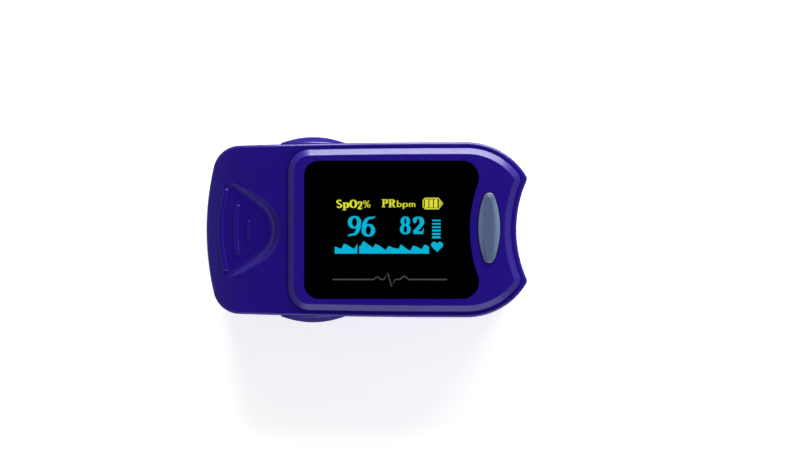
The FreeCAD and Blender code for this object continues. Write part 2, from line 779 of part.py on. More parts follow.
# Round notches for the ears, the finger mouth, and the screw bosses.
across(upper_shell, NOTCH_Y, (PIVOT, D.pivot_z, D.notch_radius), 4.0)
across(upper_shell, -NOTCH_Y, (PIVOT, D.pivot_z, D.notch_radius), 4.0)
cut_mouth(upper_shell, 20.0, D.mouth_up, D.mouth_down, D.mouth_half)
for x, ceiling in ((D.screw_x, D.ceiling_z), (-D.screw_rear_x, D.grip_ceiling_z)):
    for y in (D.screw_y, -D.screw_y):
        base = D.upper_frame_top + 0.05
        boss = draw_circle(new_sketch(upper_shell, "XY", base), x, y, D.boss_radius)
        pad(upper_shell, boss, ceiling - base + 0.2)
        cut_hole(upper_shell, x, y, base - 0.5, D.screw_radius + 0.03, 2.6 if num(x) > 0 else 1.7)

# ---------------------------------------------------------------- lower shell

lower_shell = prism("lower_shell", 0.0, 0.0, D.lower_part_z, None, D.rear_round, D.tip_round)
wedge_cut(lower_shell, D.lower_part_z, D.lower_wedge, False)
soften(lower_shell, "Fillet", D.belly_round, lambda b: b.ZMax < 0.01)
soften(
    lower_shell,
    "Chamfer",
    D.lip_bevel,
    lambda b: b.ZMin > 13 and not upright(b) and not (b.XLength < 0.01 and b.YLength > 20),
)
cup = prism("lower_hollow", D.wall, D.skin, D.lower_part_z, None, D.rear_round - D.wall, 0.6)
join(lower_shell, cup, "Cut")
add_box(lower_shell, D.bay_front, D.bay_front + D.bay_wall, -12.6, 12.6, D.skin - 0.2, WALL_TOP)
add_box(lower_shell, -D.bay_rear - D.bay_wall, -D.bay_rear, -14.2, 14.2, D.skin - 0.2, WALL_TOP)
for x in (D.screw_x, -D.screw_rear_x):
    for y in (D.screw_y, -D.screw_y):
        boss = draw_circle(new_sketch(lower_shell, "XY", D.skin - 0.2), x, y, D.boss_radius)
        pad(lower_shell, boss, WALL_TOP - D.skin + 0.2)
        hole = draw_circle(new_sketch(lower_shell, "XY", WALL_TOP), x, y, D.screw_radius + 0.03)
        pocket(lower_shell, hole, 6.0)

# The battery opening, with a groove along each side for the door's tongues.
cut_box(lower_shell, -31.0, D.door_front + D.door_gap, -BAY_Y, BAY_Y, -0.5, D.skin)
for side in (1.0, -1.0):
    low, high = span(side, BAY_Y - 0.1, BAY_Y + D.tongue)
    cut_box(lower_shell, -31.0, 21.2, low, high, GROOVE_LOW, GROOVE_HIGH)


# the flat middle of an ear's outer face
HUB = 1.2


def ear(body, side):
    """A round ear on the hinge axis, with a crowned outer face."""
    inner = side * D.ear_inner_y
    edge = side * (D.ear_outer_y - 0.5)
    outer = side * D.ear_outer_y
    crown = side * (D.ear_outer_y + D.ear_crown)
    drawing = new_sketch(body, "XY", D.pivot_z)
    bind(drawing, AttachmentOffset__Base__x=PIVOT)
    rim = D.ear_radius - 0.5
    bulge = segment_arc(rim, D.ear_crown) * 1.02
    start = [(0.0, inner), (D.ear_radius, inner)]
    if side > 0:
        draw(drawing, start + [(D.ear_radius, edge, 0.5), (rim, outer, bulge), (HUB, crown), (0.0, crown)])
    else:
        face = [(0.0, crown), (HUB, crown, bulge), (rim, outer, 0.5), (D.ear_radius, edge)]
        draw(drawing, face + start[::-1])
    feature = body.newObject("PartDesign::Revolution", "Revolution")
    feature.Profile = drawing
    feature.ReferenceAxis = (drawing, ["V_Axis"])
    feature.Angle = 360.0
    doc.recompute()


ear(lower_shell, 1.0)
ear(lower_shell, -1.0)
for side in (1.0, -1.0):
    slot = upright_slot(PIVOT, D.pivot_z, SLOT_TOP, SLOT_R)
    across(lower_shell, side * (D.ear_inner_y - 0.6), slot, D.pin_half_length + 0.25 - D.ear_inner_y + 0.6)
cut_mouth(lower_shell, 20.0, D.mouth_up, D.mouth_down, D.mouth_half)
# two openings around the corner make a bar for a wrist strap
cut_box(lower_shell, -27.4, -26.0, 8.0, 18.0, 6.0, 9.0)
cut_box(lower_shell, -31.0, -27.0, 4.5, 6.5, 6.0, 9.0)

# ---------------------------------------------------------------- battery door

battery_door = prism("battery_door", 0.0, 0.0, 6.0, None, D.rear_round, D.tip_round)
soften(battery_door, "Fillet", D.belly_round, lambda b: b.ZMax < 0.01)
cut_box(battery_door, -32.0, 32.0, -20.0, 20.0, D.door_thick, 7.0)
cut_box(battery_door, -32.0, 32.0, D.door_half_width, 20.0, -1.0, 7.0)
cut_box(battery_door, -32.0, 32.0, -20.0, -D.door_half_width, -1.0, 7.0)
cut_box(battery_door, D.door_front, 32.0, -20.0, 20.0, -1.0, 7.0)
for side in (1.0, -1.0):
    low, high = span(side, D.door_half_width - 0.3, BAY_Y + D.tongue - 0.15)
    add_box(battery_door, -21.0, 21.0, low, high, GROOVE_LOW + 0.1, GROOVE_HIGH - 0.1)
# finger grooves that point the way the door opens
for i in range(5):
    x = 12.0 + i * 1.7
    cut_box(battery_door, x, x + 0.8, -4.5 + i * 0.8, 4.5 - i * 0.8, -0.5, 0.4)

# ---------------------------------------------------------------- cells and contacts


def cell(label, x, y, ahead):
    """An AAA cell that starts at x; its cap points along +X if ahead is 1 and along -X if it is -1."""
    nub = 1.9
    cap = 1.0
    radius = D.cell_radius
    end = D.cell_length - cap
    half = [(0.0, 0.0), (0.0, radius - 0.4), (0.4, radius), (end - 0.4, radius), (end, radius - 0.4)]
    half += [(end, nub), (D.cell_length - 0.2, nub), (D.cell_length, nub - 0.2), (D.cell_length, 0.0)]
    profile = [(ahead * p[0], p[1]) for p in half]
    if ahead > 0:
        profile = profile[::-1]
    return turned(label, y, D.cell_z, profile, x)


cell("battery_left", PLUS_X - D.cell_length, D.cell_y, 1.0)
cell("battery_right", REAR_X + D.cell_length, -D.cell_y, -1.0)
plate("contact_link_plate", PLUS_X, D.bay_front, -9.8, 9.8, D.skin + 0.3, 11.6)
plate("contact_plate_left", -D.bay_rear, REAR_X, 1.0, 9.9, D.skin + 0.3, 11.6)
plate("contact_plate_right", -D.bay_rear, REAR_X, -9.9, -1.0, D.skin + 0.3, 11.6)


def sweep(label, spine, radius, centre, direction):
    """A round wire along a spine object."""
    ring = doc.addObject("Part::Circle", label + "_section")
    bind(ring, Radius=radius)
    ring.Placement = Placement(centre, Rotation(Vector(0, 0, 1), direction))
    wire = doc.addObject("Part::Sweep", label)
    wire.Label = label
    wire.Sections = [ring]
    wire.Spine = (spine, ["Edge1"])
    wire.Solid = True
    wire.Frenet = True
    return wire


def contact_spring(label, start, y, length, outward):
    """A conical coil that presses on the flat end of a cell."""
    spine = doc.addObject("Part::Helix", label + "_spine")
    bind(spine, Pitch=as_dim(length) / 3.0, Height=length - 0.5, Radius=3.1)
    spine.Angle = -18.0
    place = Vector(num(start) + outward * 0.25, num(y), num(D.cell_z))
    spine.Placement = Placement(place, Rotation(Vector(0, 0, 1), Vector(outward, 0, 0)))
    doc.recompute()
    edge = spine.Shape.Edges[0]
    point = edge.valueAt(edge.FirstParameter)
    return sweep(label, spine, 0.24, point, edge.tangentAt(edge.FirstParameter))


contact_spring("contact_spring_left", REAR_X, D.cell_y, PLUS_X - D.cell_length - REAR_X, 1.0)
# the other coil is the same part, turned end for end
doc.recompute()
contact_spring_right = doc.addObject("Part::Feature", "contact_spring_right")
contact_spring_right.Label = "contact_spring_right"
contact_spring_right.Shape = doc.getObject("contact_spring_left").Shape.copy()
turned_round = Rotation(Vector(0, 0, 1), 180)
contact_spring_right.Placement = Placement(Vector(num(PLUS_X + REAR_X), 0, 0), turned_round)

# ---------------------------------------------------------------- frames

# the flat cable passes through both frames behind the hinge
CABLE_SLOT = (-14.4, -12.9, -3.3, 3.3)
lower_frame = prism(
    "lower_frame", FRAME_IN, D.lower_frame_base, D.lower_frame_top - D.lower_frame_base, None, 3.3, 0.6
)
wedge_cut(lower_frame, D.lower_frame_top, D.lower_wedge, False)
cut_mouth(lower_frame, -D.stop_x, D.mouth_up, D.mouth_down, D.mouth_half)
# room for the hinge coils, their lower legs and the flat cable
for side in (1.0, -1.0):
    low, high = span(side, 4.5, 16.0)
    cut_box(lower_frame, -14.2, -5.8, low, high, 14.9, 20.0)
    low, high = span(side, 5.2, 6.4)
    cut_box(lower_frame, -18.0, -14.0, low, high, 15.35, 20.0)
cut_box(lower_frame, *CABLE_SLOT, 12.0, 20.0)
cut_hole(lower_frame, D.sensor_x, 0.0, 12.0, 2.6, 4.0)
cut_box(lower_frame, D.sensor_x - 4.3, D.sensor_x + 4.3, -3.8, 3.8, 12.0, 13.05)
for x in (D.screw_x, -D.screw_rear_x):
    for y in (D.screw_y, -D.screw_y):
        cut_hole(lower_frame, x, y, 12.0, D.screw_radius + 0.1, 6.0)
        cut_hole(lower_frame, x, y, 13.6, D.screw_head + 0.15, 6.0)

upper_frame = prism(
    "upper_frame", FRAME_IN, D.upper_frame_base, D.upper_frame_top - D.upper_frame_base, None, 3.3, 0.6
)
wedge_cut(upper_frame, D.upper_frame_base, D.upper_wedge, True)
cut_mouth(upper_frame, -D.stop_x, D.mouth_up, D.mouth_down, D.mouth_half)
LUG = 2.2
for side in (1.0, -1.0):
    low, high = span(side, 4.5, 12.2)
    cut_box(upper_frame, -14.2, -5.8, low, high, 17.0, 21.6)
    low, high = span(side, 9.1, 10.25)
    cut_box(upper_frame, -20.7, -14.0, low, high, 17.0, 20.7)
    # clear of the ears, and then a lug that hangs down around the hinge pin
    across(upper_frame, side * (NOTCH_Y - 0.1), (PIVOT, D.pivot_z, D.notch_radius), 3.0)
    lug = [(PIVOT + LUG, 22.0), (PIVOT - LUG, 22.0)]
    lug += [(PIVOT - LUG, D.pivot_z, LUG * 1.01), (PIVOT + LUG, D.pivot_z)]
    across(upper_frame, side * 12.2, lug, NOTCH_Y - 0.1 - 12.2, kind="Pad")
pocket(upper_frame, draw_circle(new_sketch(upper_frame, "XZ"), PIVOT, D.pivot_z, SLOT_R), 40.0, both=True)
cut_box(upper_frame, *CABLE_SLOT, 17.0, 26.0)
cut_hole(upper_frame, D.sensor_x, 0.0, 20.0, 2.6, 6.0)
for x in (D.screw_x, -D.screw_rear_x):
    for y in (D.screw_y, -D.screw_y):
        cut_hole(upper_frame, x, y, 17.0, D.screw_radius + 0.1, 9.0)
        cut_hole(upper_frame, x, y, 17.0, D.screw_head + 0.15, 6.4)

# ---------------------------------------------------------------- soft pads


def finger_pad(label, low, high, top):
    """A soft liner of even thickness in the finger channel, with a flange along each side."""
    body = prism(label, 0.4, low, as_dim(high) - low, D.stop_x - 0.1)
    outer_half = D.mouth_half - D.pad_gap
    inner_half = outer_half - D.pad_thick
    reach = D.mouth_up if top else D.mouth_down
    for inset, half in ((D.pad_gap, outer_half), (D.pad_gap + D.pad_thick, inner_half)):
        drawing = new_sketch(body, "YZ", -D.body_rear)
        arc = segment_arc(half, reach - inset)
        if top:
            inside = [(-half, D.part_z), (half, D.part_z, arc)]
            around = [(-20.0, 15.0), (20.0, 15.0), (20.0, 26.0), (-20.0, 26.0)]
        else:
            inside = [(-half, D.part_z, arc), (half, D.part_z)]
            around = [(-20.0, 11.0), (20.0, 11.0), (20.0, 19.0), (-20.0, 19.0)]
        if half is outer_half:
            draw(drawing, around)
        draw(drawing, inside)
        pocket(body, drawing, 70.0, backwards=True)
    return body


upper_pad = finger_pad("upper_finger_pad", D.part_z + 0.1, 24.0, True)
lower_pad = finger_pad("lower_finger_pad", 12.9, D.part_z - 0.1, False)
for side in (1.0, -1.0):
    low, high = span(side, 8.1, 10.6)
    add_box(upper_pad, 0.1 - D.stop_x, 25.6, low, high, D.part_z + 0.1, D.upper_frame_base - 0.02)
    add_box(lower_pad, 0.1 - D.stop_x, 25.6, low, high, D.lower_frame_top + 0.02, D.part_z - 0.1)
cut_hole(upper_pad, D.sensor_x, 0.0, 20.0, 2.6, 5.0)
cut_hole(lower_pad, D.sensor_x, 0.0, 12.0, 2.6, 4.0)

# ---------------------------------------------------------------- hinge

hinge_pin = new_body("hinge_pin")
pin_end = draw_circle(new_sketch(hinge_pin, "XZ"), PIVOT, D.pivot_z, D.pin_radius)
pad(hinge_pin, pin_end, D.pin_half_length * 2.0, both=True)
soften(hinge_pin, "Chamfer", 0.25, lambda b: b.YLength < 0.01)

WIRE = 0.4
COIL = 2.2


def torsion_spring(label, side):
    """Four close turns around the hinge pin, with a straight leg in each half of the clip."""
    turns = 4.0
    pitch = 0.86
    spine = doc.addObject("Part::Helix", label + "_spine")
    bind(spine, Pitch=pitch, Height=pitch * (turns + 0.5), Radius=COIL)
    # the helix starts at the bottom of the coil and ends at the top of it
    start = Rotation(Vector(0, 0, 1), Vector(0, side, 0))
    local = start.inverted().multVec(Vector(0, 0, -1))
    spin = Rotation(Vector(0, 0, 1), math.degrees(math.atan2(local.y, local.x)))
    spine.Placement = Placement(Vector(num(PIVOT), side * 5.8, num(D.pivot_z)), start.multiply(spin))
    doc.recompute()
    edge = spine.Shape.Edges[0]
    first = edge.valueAt(edge.FirstParameter)
    last = edge.valueAt(edge.LastParameter)
    coil = sweep(label + "_coil", spine, WIRE, first, edge.tangentAt(edge.FirstParameter))
    doc.recompute()
    parts = [coil]
    for point, reach in ((first, 6.8), (last, 10.2)):
        leg = doc.addObject("Part::Cylinder", label + "_leg")
        bind(leg, Radius=WIRE, Height=reach)
        leg.Placement = Placement(point, Rotation(Vector(0, 0, 1), Vector(-1, 0, 0)))
        ball = doc.addObject("Part::Sphere", label + "_bend")
        bind(ball, Radius=WIRE * 1.1)
        ball.Placement = Placement(point, Rotation())
        parts += [leg, ball]
    spring = doc.addObject("Part::MultiFuse", label)
    spring.Shapes = parts
    spring.Label = label
    return spring


torsion_spring("torsion_spring_left", 1.0)
# the right spring is wound the other way
mirrored = doc.addObject("Part::Mirroring", "torsion_spring_right")
mirrored.Label = "torsion_spring_right"
mirrored.Source = doc.getObject("torsion_spring_left")
mirrored.Normal = Vector(0, 1, 0)

# ---------------------------------------------------------------- display, boards and light path

lens_block("display_lens", 0.0, LENS_TOP - D.lens_thick, D.lens_thick)
gasket = lens_block("lens_gasket", 0.0, GLUE_Z, 0.15)
cut_box(gasket, *VIEW, GLUE_Z - 1.0, GLUE_Z + 1.0)
px0 = D.display_x - D.panel_length / 2.0
px1 = D.display_x + D.panel_length / 2.0
py = D.panel_width / 2.0
oled = plate("oled_panel", px0, px1, -py, py, D.panel_top_z - D.panel_thick, D.panel_top_z)
soften(oled, "Chamfer", 0.2, upright)
PANEL_LOW = D.panel_top_z - D.panel_thick
BOARD_TOP = D.board_z + D.board_thick
bracket = plate(
    "display_bracket", px0 - 0.9, px1 + 0.6, -py - 0.9, py + 0.9, PANEL_LOW - 0.8, PANEL_LOW + 0.5
)
cut_box(bracket, px0 - 0.1, px1 + 0.1, -py - 0.1, py + 0.1, PANEL_LOW, PANEL_LOW + 2.0)
cut_box(bracket, px0 + 2.5, px1 - 2.5, -py + 2.0, py - 2.0, PANEL_LOW - 2.0, PANEL_LOW + 2.0)
main_board = plate("main_board", -12.0, 24.8, -10.4, 10.4, D.board_z, BOARD_TOP)
soften(main_board, "Chamfer", 3.4, lambda b: upright(b) and b.XMin > 20)
soften(main_board, "Fillet", 1.0, lambda b: upright(b) and b.XMin < -11)
cut_hole(main_board, -10.0, 8.4, 20.0, 0.8, 9.0)
cut_hole(main_board, -10.0, -8.4, 20.0, 0.8, 9.0)
chip = plate("controller_chip", -1.5, 5.5, -3.5, 3.5, BOARD_TOP, BOARD_TOP + 0.9)
soften(chip, "Chamfer", 0.15, lambda b: near(b.ZMin, BOARD_TOP + 0.9))
driver = plate("driver_chip", 12.0, 16.0, -5.5, -1.5, BOARD_TOP, BOARD_TOP + 0.8)
soften(driver, "Chamfer", 0.15, lambda b: near(b.ZMin, BOARD_TOP + 0.8))
plate("crystal", 8.0, 11.2, 4.5, 6.1, BOARD_TOP, BOARD_TOP + 0.7)
plate("ribbon_socket", -10.6, -8.6, -3.4, 3.4, BOARD_TOP, BOARD_TOP + 0.9)
switch = plate(
    "tact_switch",
    D.button_x - 1.75,
    D.button_x + 1.75,
    D.button_y - 2.4,
    D.button_y + 2.4,
    BOARD_TOP,
    BOARD_TOP + 1.35,
)
soften(switch, "Chamfer", 0.2, lambda b: near(b.ZMin, BOARD_TOP + 1.35))
# the plunger sinks into a well in the switch
cut_hole(switch, D.button_x, D.button_y, BOARD_TOP + 0.85, 0.9, 1.0)
disc("switch_plunger", D.button_x, D.button_y, BOARD_TOP + 1.4, 0.8, 0.65)

# The button: a bevelled barrel with a flange under the top wall, and a stem down to the switch.
BUTTON_LOW = D.ceiling_z - 0.15
BEVEL_HIGH = 0.42
BEVEL_SLOPE = 63.0
bevel_z = D.button_top_z - BEVEL_HIGH
power_button = new_body("power_button")
sketch = draw(new_sketch(power_button, "XY", BUTTON_LOW - 0.1), button_corners(0.0))
pad(power_button, sketch, bevel_z - BUTTON_LOW + 0.1)
sketch = draw(new_sketch(power_button, "XY", bevel_z), button_corners(0.0))
pad(power_button, sketch, BEVEL_HIGH, taper=-BEVEL_SLOPE)
flange = box_corners(D.button_x - 2.5, D.button_y - 7.2, D.button_x + 2.2, D.button_y + 7.2)
pad(power_button, draw(new_sketch(power_button, "XY", BUTTON_LOW - 0.7), flange), 0.7)
stem_low = BOARD_TOP + 2.1
stem = draw_circle(new_sketch(power_button, "XY", stem_low), D.button_x, D.button_y, 1.0)
pad(power_button, stem, BUTTON_LOW - 0.6 - stem_low)
soften(power_button, "Fillet", 0.2, lambda b: near(b.ZMin, D.button_top_z) and near(b.ZMax, D.button_top_z))
soften(power_button, "Fillet", 0.3, lambda b: near(b.ZMin, bevel_z) and near(b.ZMax, bevel_z))

# Light source above the finger, detector below it.
X = D.sensor_x
plate("led_emitter", X - 1.6, X + 1.6, -1.35, 1.35, D.board_z - 1.1, D.board_z)
disc("emitter_window", X, 0.0, 22.4, 2.5, 1.35)
plate("sensor_board", X - 4.0, X + 4.0, -3.5, 3.5, D.lower_frame_base + 0.05, D.lower_frame_base + 0.6)
plate("photodiode", X - 1.5, X + 1.5, -1.5, 1.5, D.lower_frame_base + 0.6, D.lower_frame_base + 1.2)
disc("sensor_window", X, 0.0, 13.7, 2.5, 0.85)

# A flat cable from the rear of the main board, past the hinge, to the detector.
flex = new_body("flex_cable")
T = 0.2
high_z = D.board_z - 0.25
low_z = D.lower_frame_base - 0.25
flex_path = [
    (-10.8, high_z),
    (-13.7, high_z),
    (-13.7, low_z),
    (X - 2.0, low_z),
    (X - 2.0, low_z + T),
    (T - 13.7, low_z + T),
    (T - 13.7, high_z - T),
    (-10.8, high_z - T),
]
pad(flex, draw(new_sketch(flex, "XZ"), flex_path), 5.0, both=True)

# ---------------------------------------------------------------- fasteners

for name, x in (("front", D.screw_x), ("rear", -D.screw_rear_x)):
    for hand, y in (("left", D.screw_y), ("right", -D.screw_y)):
        screw(f"lower_screw_{name}_{hand}", x, y, 14.3, 7.0)
        screw_up(f"upper_screw_{name}_{hand}", x, y, 22.65, 2.9 if name == "rear" else 3.8)

# ---------------------------------------------------------------- check and write

NODES = [
    "upper_shell",
    "lower_shell",
    "battery_door",
    "battery_left",
    "battery_right",
    "contact_link_plate",
    "contact_plate_left",
    "contact_plate_right",
    "contact_spring_left",
    "contact_spring_right",
    "lower_frame",
    "upper_frame",
    "upper_finger_pad",
    "lower_finger_pad",
    "hinge_pin",
    "torsion_spring_left",
    "torsion_spring_right",
    "display_lens",
    "lens_gasket",
    "oled_panel",
    "display_bracket",
    "main_board",
    "controller_chip",
    "driver_chip",
    "crystal",
    "ribbon_socket",
    "tact_switch",
    "switch_plunger",
    "power_button",
    "led_emitter",
    "emitter_window",
    "sensor_board",
    "photodiode",
    "sensor_window",
    "flex_cable",
]
for half in ("lower", "upper"):
    for name in ("front", "rear"):
        for hand in ("left", "right"):
            NODES.append(f"{half}_screw_{name}_{hand}")

doc.recompute()
for thing in doc.Objects:
    if any(word in thing.State for word in ("Invalid", "Error")):
        raise RuntimeError(f"{thing.Label} failed: {thing.State}")
os.makedirs(OUT, exist_ok=True)
whole = FreeCAD.BoundBox()
for node in NODES:
    found = [thing for thing in doc.Objects if thing.Label == node]
    if len(found) != 1:
        raise RuntimeError(f"{node}: {len(found)} objects have this label")
    shape = found[0].Shape
    if shape.isNull() or not shape.isValid() or len(shape.Solids) != 1:
        raise RuntimeError(f"{node}: null, invalid or not one solid ({len(shape.Solids)})")
    shape.exportStep(f"{OUT}/{node}.step")
    whole.add(shape.BoundBox)
    print(node, round(shape.Volume, 2), shape.BoundBox)
print("whole", whole)
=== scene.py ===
"""Looks for the fingertip pulse oximeter: plastics, window, lit display, soft pads, springs and cable.

Lengths are in metres in the CAD model's frame: +X out of the finger mouth, +Y to the left, +Z up.
"""

import math

import bmesh
import bpy
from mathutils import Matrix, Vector


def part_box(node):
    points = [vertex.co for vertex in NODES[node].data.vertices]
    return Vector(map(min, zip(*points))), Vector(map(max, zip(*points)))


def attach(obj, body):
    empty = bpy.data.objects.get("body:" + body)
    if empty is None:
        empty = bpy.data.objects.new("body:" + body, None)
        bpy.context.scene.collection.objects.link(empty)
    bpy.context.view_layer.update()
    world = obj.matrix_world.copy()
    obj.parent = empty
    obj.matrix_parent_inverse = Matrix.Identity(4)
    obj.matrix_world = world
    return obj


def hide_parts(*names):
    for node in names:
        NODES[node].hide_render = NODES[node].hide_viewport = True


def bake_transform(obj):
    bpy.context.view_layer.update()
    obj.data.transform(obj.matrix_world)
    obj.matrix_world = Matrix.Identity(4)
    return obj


MM = 0.001
EVEN = (1.0, 1.0, 1.0)

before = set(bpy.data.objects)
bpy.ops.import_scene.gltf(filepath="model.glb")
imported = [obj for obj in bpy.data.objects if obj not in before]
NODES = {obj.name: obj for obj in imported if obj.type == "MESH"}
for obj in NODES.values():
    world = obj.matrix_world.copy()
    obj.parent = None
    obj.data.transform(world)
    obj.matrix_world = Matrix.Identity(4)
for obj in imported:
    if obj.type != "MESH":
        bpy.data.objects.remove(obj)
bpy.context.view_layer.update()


# ---------------------------------------------------------------- material helpers


class Shader:
    """A node material built round one Principled BSDF."""

    def __init__(self, name, color, rough):
        self.material = bpy.data.materials.new(name)
        self.material.use_nodes = True
        self.tree = self.material.node_tree
        self.bsdf = self.tree.nodes["Principled BSDF"]
        self.color = color
        self.rough = rough
        self.bsdf.inputs["Base Color"].default_value = (*color, 1.0)
        self.bsdf.inputs["Roughness"].default_value = rough
        self.place = self.node("ShaderNodeTexCoord").outputs["Object"]
        self.height = None

    def node(self, kind, **settings):
        node = self.tree.nodes.new(kind)
        for key, value in settings.items():
            setattr(node, key, value)
        return node

    def link(self, source, target):
        self.tree.links.new(source, target)

    def noise(self, size, detail=3.0, stretch=EVEN):
        """Noise whose blobs are about size metres across."""
        mapping = self.node("ShaderNodeMapping")
        mapping.inputs["Scale"].default_value = [s / size for s in stretch]
        self.link(self.place, mapping.inputs["Vector"])
        noise = self.node("ShaderNodeTexNoise")
        noise.inputs["Scale"].default_value = 1.0
        noise.inputs["Detail"].default_value = detail
        noise.inputs["Roughness"].default_value = 0.55
        self.link(mapping.outputs["Vector"], noise.inputs["Vector"])
        return noise.outputs["Fac"]

    def ramp(self, source, stops):
        """A colour ramp; stops are (position, (r, g, b))."""
        ramp = self.node("ShaderNodeValToRGB")
        elements = ramp.color_ramp.elements
        while len(elements) < len(stops):
            elements.new(0.5)
        for element, (position, color) in zip(elements, stops):
            element.position = position
            element.color = (*color, 1.0)
        self.link(source, ramp.inputs["Fac"])
        return ramp.outputs["Color"]

    def vary_color(self, size, amount, stretch=EVEN):
        """Makes the colour slightly lighter and darker in soft patches."""
        low = [c * (1.0 - amount) for c in self.color]
        high = [min(c * (1.0 + amount), 1.0) for c in self.color]
        color = self.ramp(self.noise(size, stretch=stretch), [(0.3, low), (0.7, high)])
        self.link(color, self.bsdf.inputs["Base Color"])

    def vary_rough(self, size, amount, stretch=EVEN):
        """Makes the surface slightly glossier and duller in soft patches."""
        low = [self.rough - amount] * 3
        high = [self.rough + amount] * 3
        value = self.ramp(self.noise(size, stretch=stretch), [(0.35, low), (0.65, high)])
        self.link(value, self.bsdf.inputs["Roughness"])

    def bump(self, source, depth, strength):
        """Adds relief of the given depth in metres, on top of any before it."""
        bump = self.node("ShaderNodeBump")
        bump.inputs["Distance"].default_value = depth
        bump.inputs["Strength"].default_value = strength
        self.link(source, bump.inputs["Height"])
        if self.height is not None:
            self.link(self.height, bump.inputs["Normal"])
        self.height = bump.outputs["Normal"]
        self.link(self.height, self.bsdf.inputs["Normal"])

    def axis(self, index):
        """One coordinate of the place on the part, in metres."""
        split = self.node("ShaderNodeSeparateXYZ")
        self.link(self.place, split.inputs["Vector"])
        return split.outputs[index]

    def calc(self, operation, first, second=0.0):
        """The result of a sum on sockets or numbers."""
        node = self.node("ShaderNodeMath", operation=operation)
        for socket, value in zip(node.inputs, (first, second)):
            if hasattr(value, "is_linked"):
                self.link(value, socket)
            else:
                socket.default_value = value
        return node.outputs[0]


def dress(node, material):
    """Gives a CAD node one material all over."""
    mesh = NODES[node].data
    mesh.materials.clear()
    mesh.materials.append(material)
    for face in mesh.polygons:
        face.material_index = 0


# ---------------------------------------------------------------- materials


def shell_plastic():
    """Deep violet moulded plastic with a fine spark-eroded grain."""
    shader = Shader("violet_shell", (0.0115, 0.0034, 0.15), 0.305)
    shader.bsdf.inputs["Specular IOR Level"].default_value = 0.42
    shader.bsdf.inputs["Coat Weight"].default_value = 0.1
    shader.bsdf.inputs["Coat Roughness"].default_value = 0.16
    shader.vary_color(6 * MM, 0.06)
    shader.vary_rough(1.2 * MM, 0.025)
    shader.bump(shader.noise(0.16 * MM, detail=3.0), 0.003 * MM, 0.5)
    shader.bump(shader.noise(9 * MM, detail=1.0), 0.02 * MM, 0.3)
    return shader.material


def frame_plastic():
    """Pale grey structural plastic with a dull grain and faint flow marks."""
    shader = Shader("grey_frame", (0.62, 0.63, 0.65), 0.55)
    shader.vary_color(5 * MM, 0.05, (1.0, 3.0, 3.0))
    shader.vary_rough(1.5 * MM, 0.05)
    shader.bump(shader.noise(0.2 * MM, detail=4.0), 0.01 * MM, 0.6)
    return shader.material


def silicone():
    """Soft dark silicone with a dusty, slightly waxy surface."""
    shader = Shader("dark_silicone", (0.028, 0.03, 0.042), 0.62)
    shader.bsdf.inputs["Subsurface Weight"].default_value = 0.12
    shader.bsdf.inputs["Subsurface Radius"].default_value = (0.6 * MM, 0.6 * MM, 0.8 * MM)
    shader.bsdf.inputs["Sheen Weight"].default_value = 0.25
    shader.vary_color(2.5 * MM, 0.22)
    shader.vary_rough(0.9 * MM, 0.07)
    shader.bump(shader.noise(0.12 * MM, detail=5.0), 0.01 * MM, 0.7)
    shader.bump(shader.noise(1.6 * MM, detail=2.0), 0.03 * MM, 0.4)
    return shader.material


def button_plastic():
    """Slate button cap: bluish bevels on each side of a greyer middle, painted darker as the shade in its
    dished top.
    """
    low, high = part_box("power_button")
    shader = Shader("slate_button", (0.1, 0.13, 0.22), 0.36)
    shader.bsdf.inputs["Coat Weight"].default_value = 0.15
    shader.bsdf.inputs["Coat Roughness"].default_value = 0.2
    middle = (low.x + high.x) / 2
    reach = 2.4 * MM
    off_middle = shader.calc("ABSOLUTE", shader.calc("SUBTRACT", shader.axis(0), middle))
    share = shader.calc("DIVIDE", off_middle, reach)
    # painted shade: the colour is darkest across the dished middle and lighter out on the bevels
    dish_shade = (0.062, 0.08, 0.16)
    between = (0.08, 0.12, 0.2)
    bevel = (0.1, 0.155, 0.24)
    color = shader.ramp(share, [(0.3, dish_shade), (0.5, between), (1.0, bevel)])
    shader.link(color, shader.bsdf.inputs["Base Color"])
    shader.vary_rough(0.8 * MM, 0.04)
    shader.bump(shader.noise(0.14 * MM, detail=4.0), 0.005 * MM, 0.5)
    return shader.material


def window_plastic(name, color, rough):
    """Clear acrylic with faint wipe marks in its gloss."""
    shader = Shader(name, color, rough)
    shader.bsdf.inputs["Transmission Weight"].default_value = 1.0
    shader.bsdf.inputs["IOR"].default_value = 1.49
    shader.bsdf.inputs["Specular IOR Level"].default_value = 0.25
    shader.vary_rough(4 * MM, 0.012, (1.0, 6.0, 1.0))
    return shader.material


def black_film(name, rough):
    """Matt black print or glass that hardly shines."""
    shader = Shader(name, (0.0006, 0.0006, 0.0008), rough)
    shader.bsdf.inputs["Specular IOR Level"].default_value = 0.05
    shader.vary_color(3 * MM, 0.3)
    shader.vary_rough(0.7 * MM, 0.05)
    shader.bump(shader.noise(0.3 * MM), 0.003 * MM, 0.4)
    return shader.material


def glow(name, color, strength):
    """Lit display segments, with the faint unevenness of an emissive panel. They are nearly black unlit."""
    unlit = [c * 0.05 for c in color]
    dimmer = [c * 0.9 for c in color]
    shader = Shader(name, unlit, 0.5)
    light = shader.ramp(shader.noise(0.9 * MM, detail=2.0), [(0.3, dimmer), (0.7, color)])
    shader.link(light, shader.bsdf.inputs["Emission Color"])
    shader.bsdf.inputs["Emission Strength"].default_value = strength
    shader.bsdf.inputs["Specular IOR Level"].default_value = 0.0
    return shader.material


def print_ink():
    """Grey ink printed on the window, with slightly ragged density."""
    shader = Shader("grey_print", (0.04, 0.04, 0.042), 0.5)
    shader.vary_color(0.4 * MM, 0.25)
    shader.bump(shader.noise(0.1 * MM), 0.002 * MM, 0.5)
    return shader.material


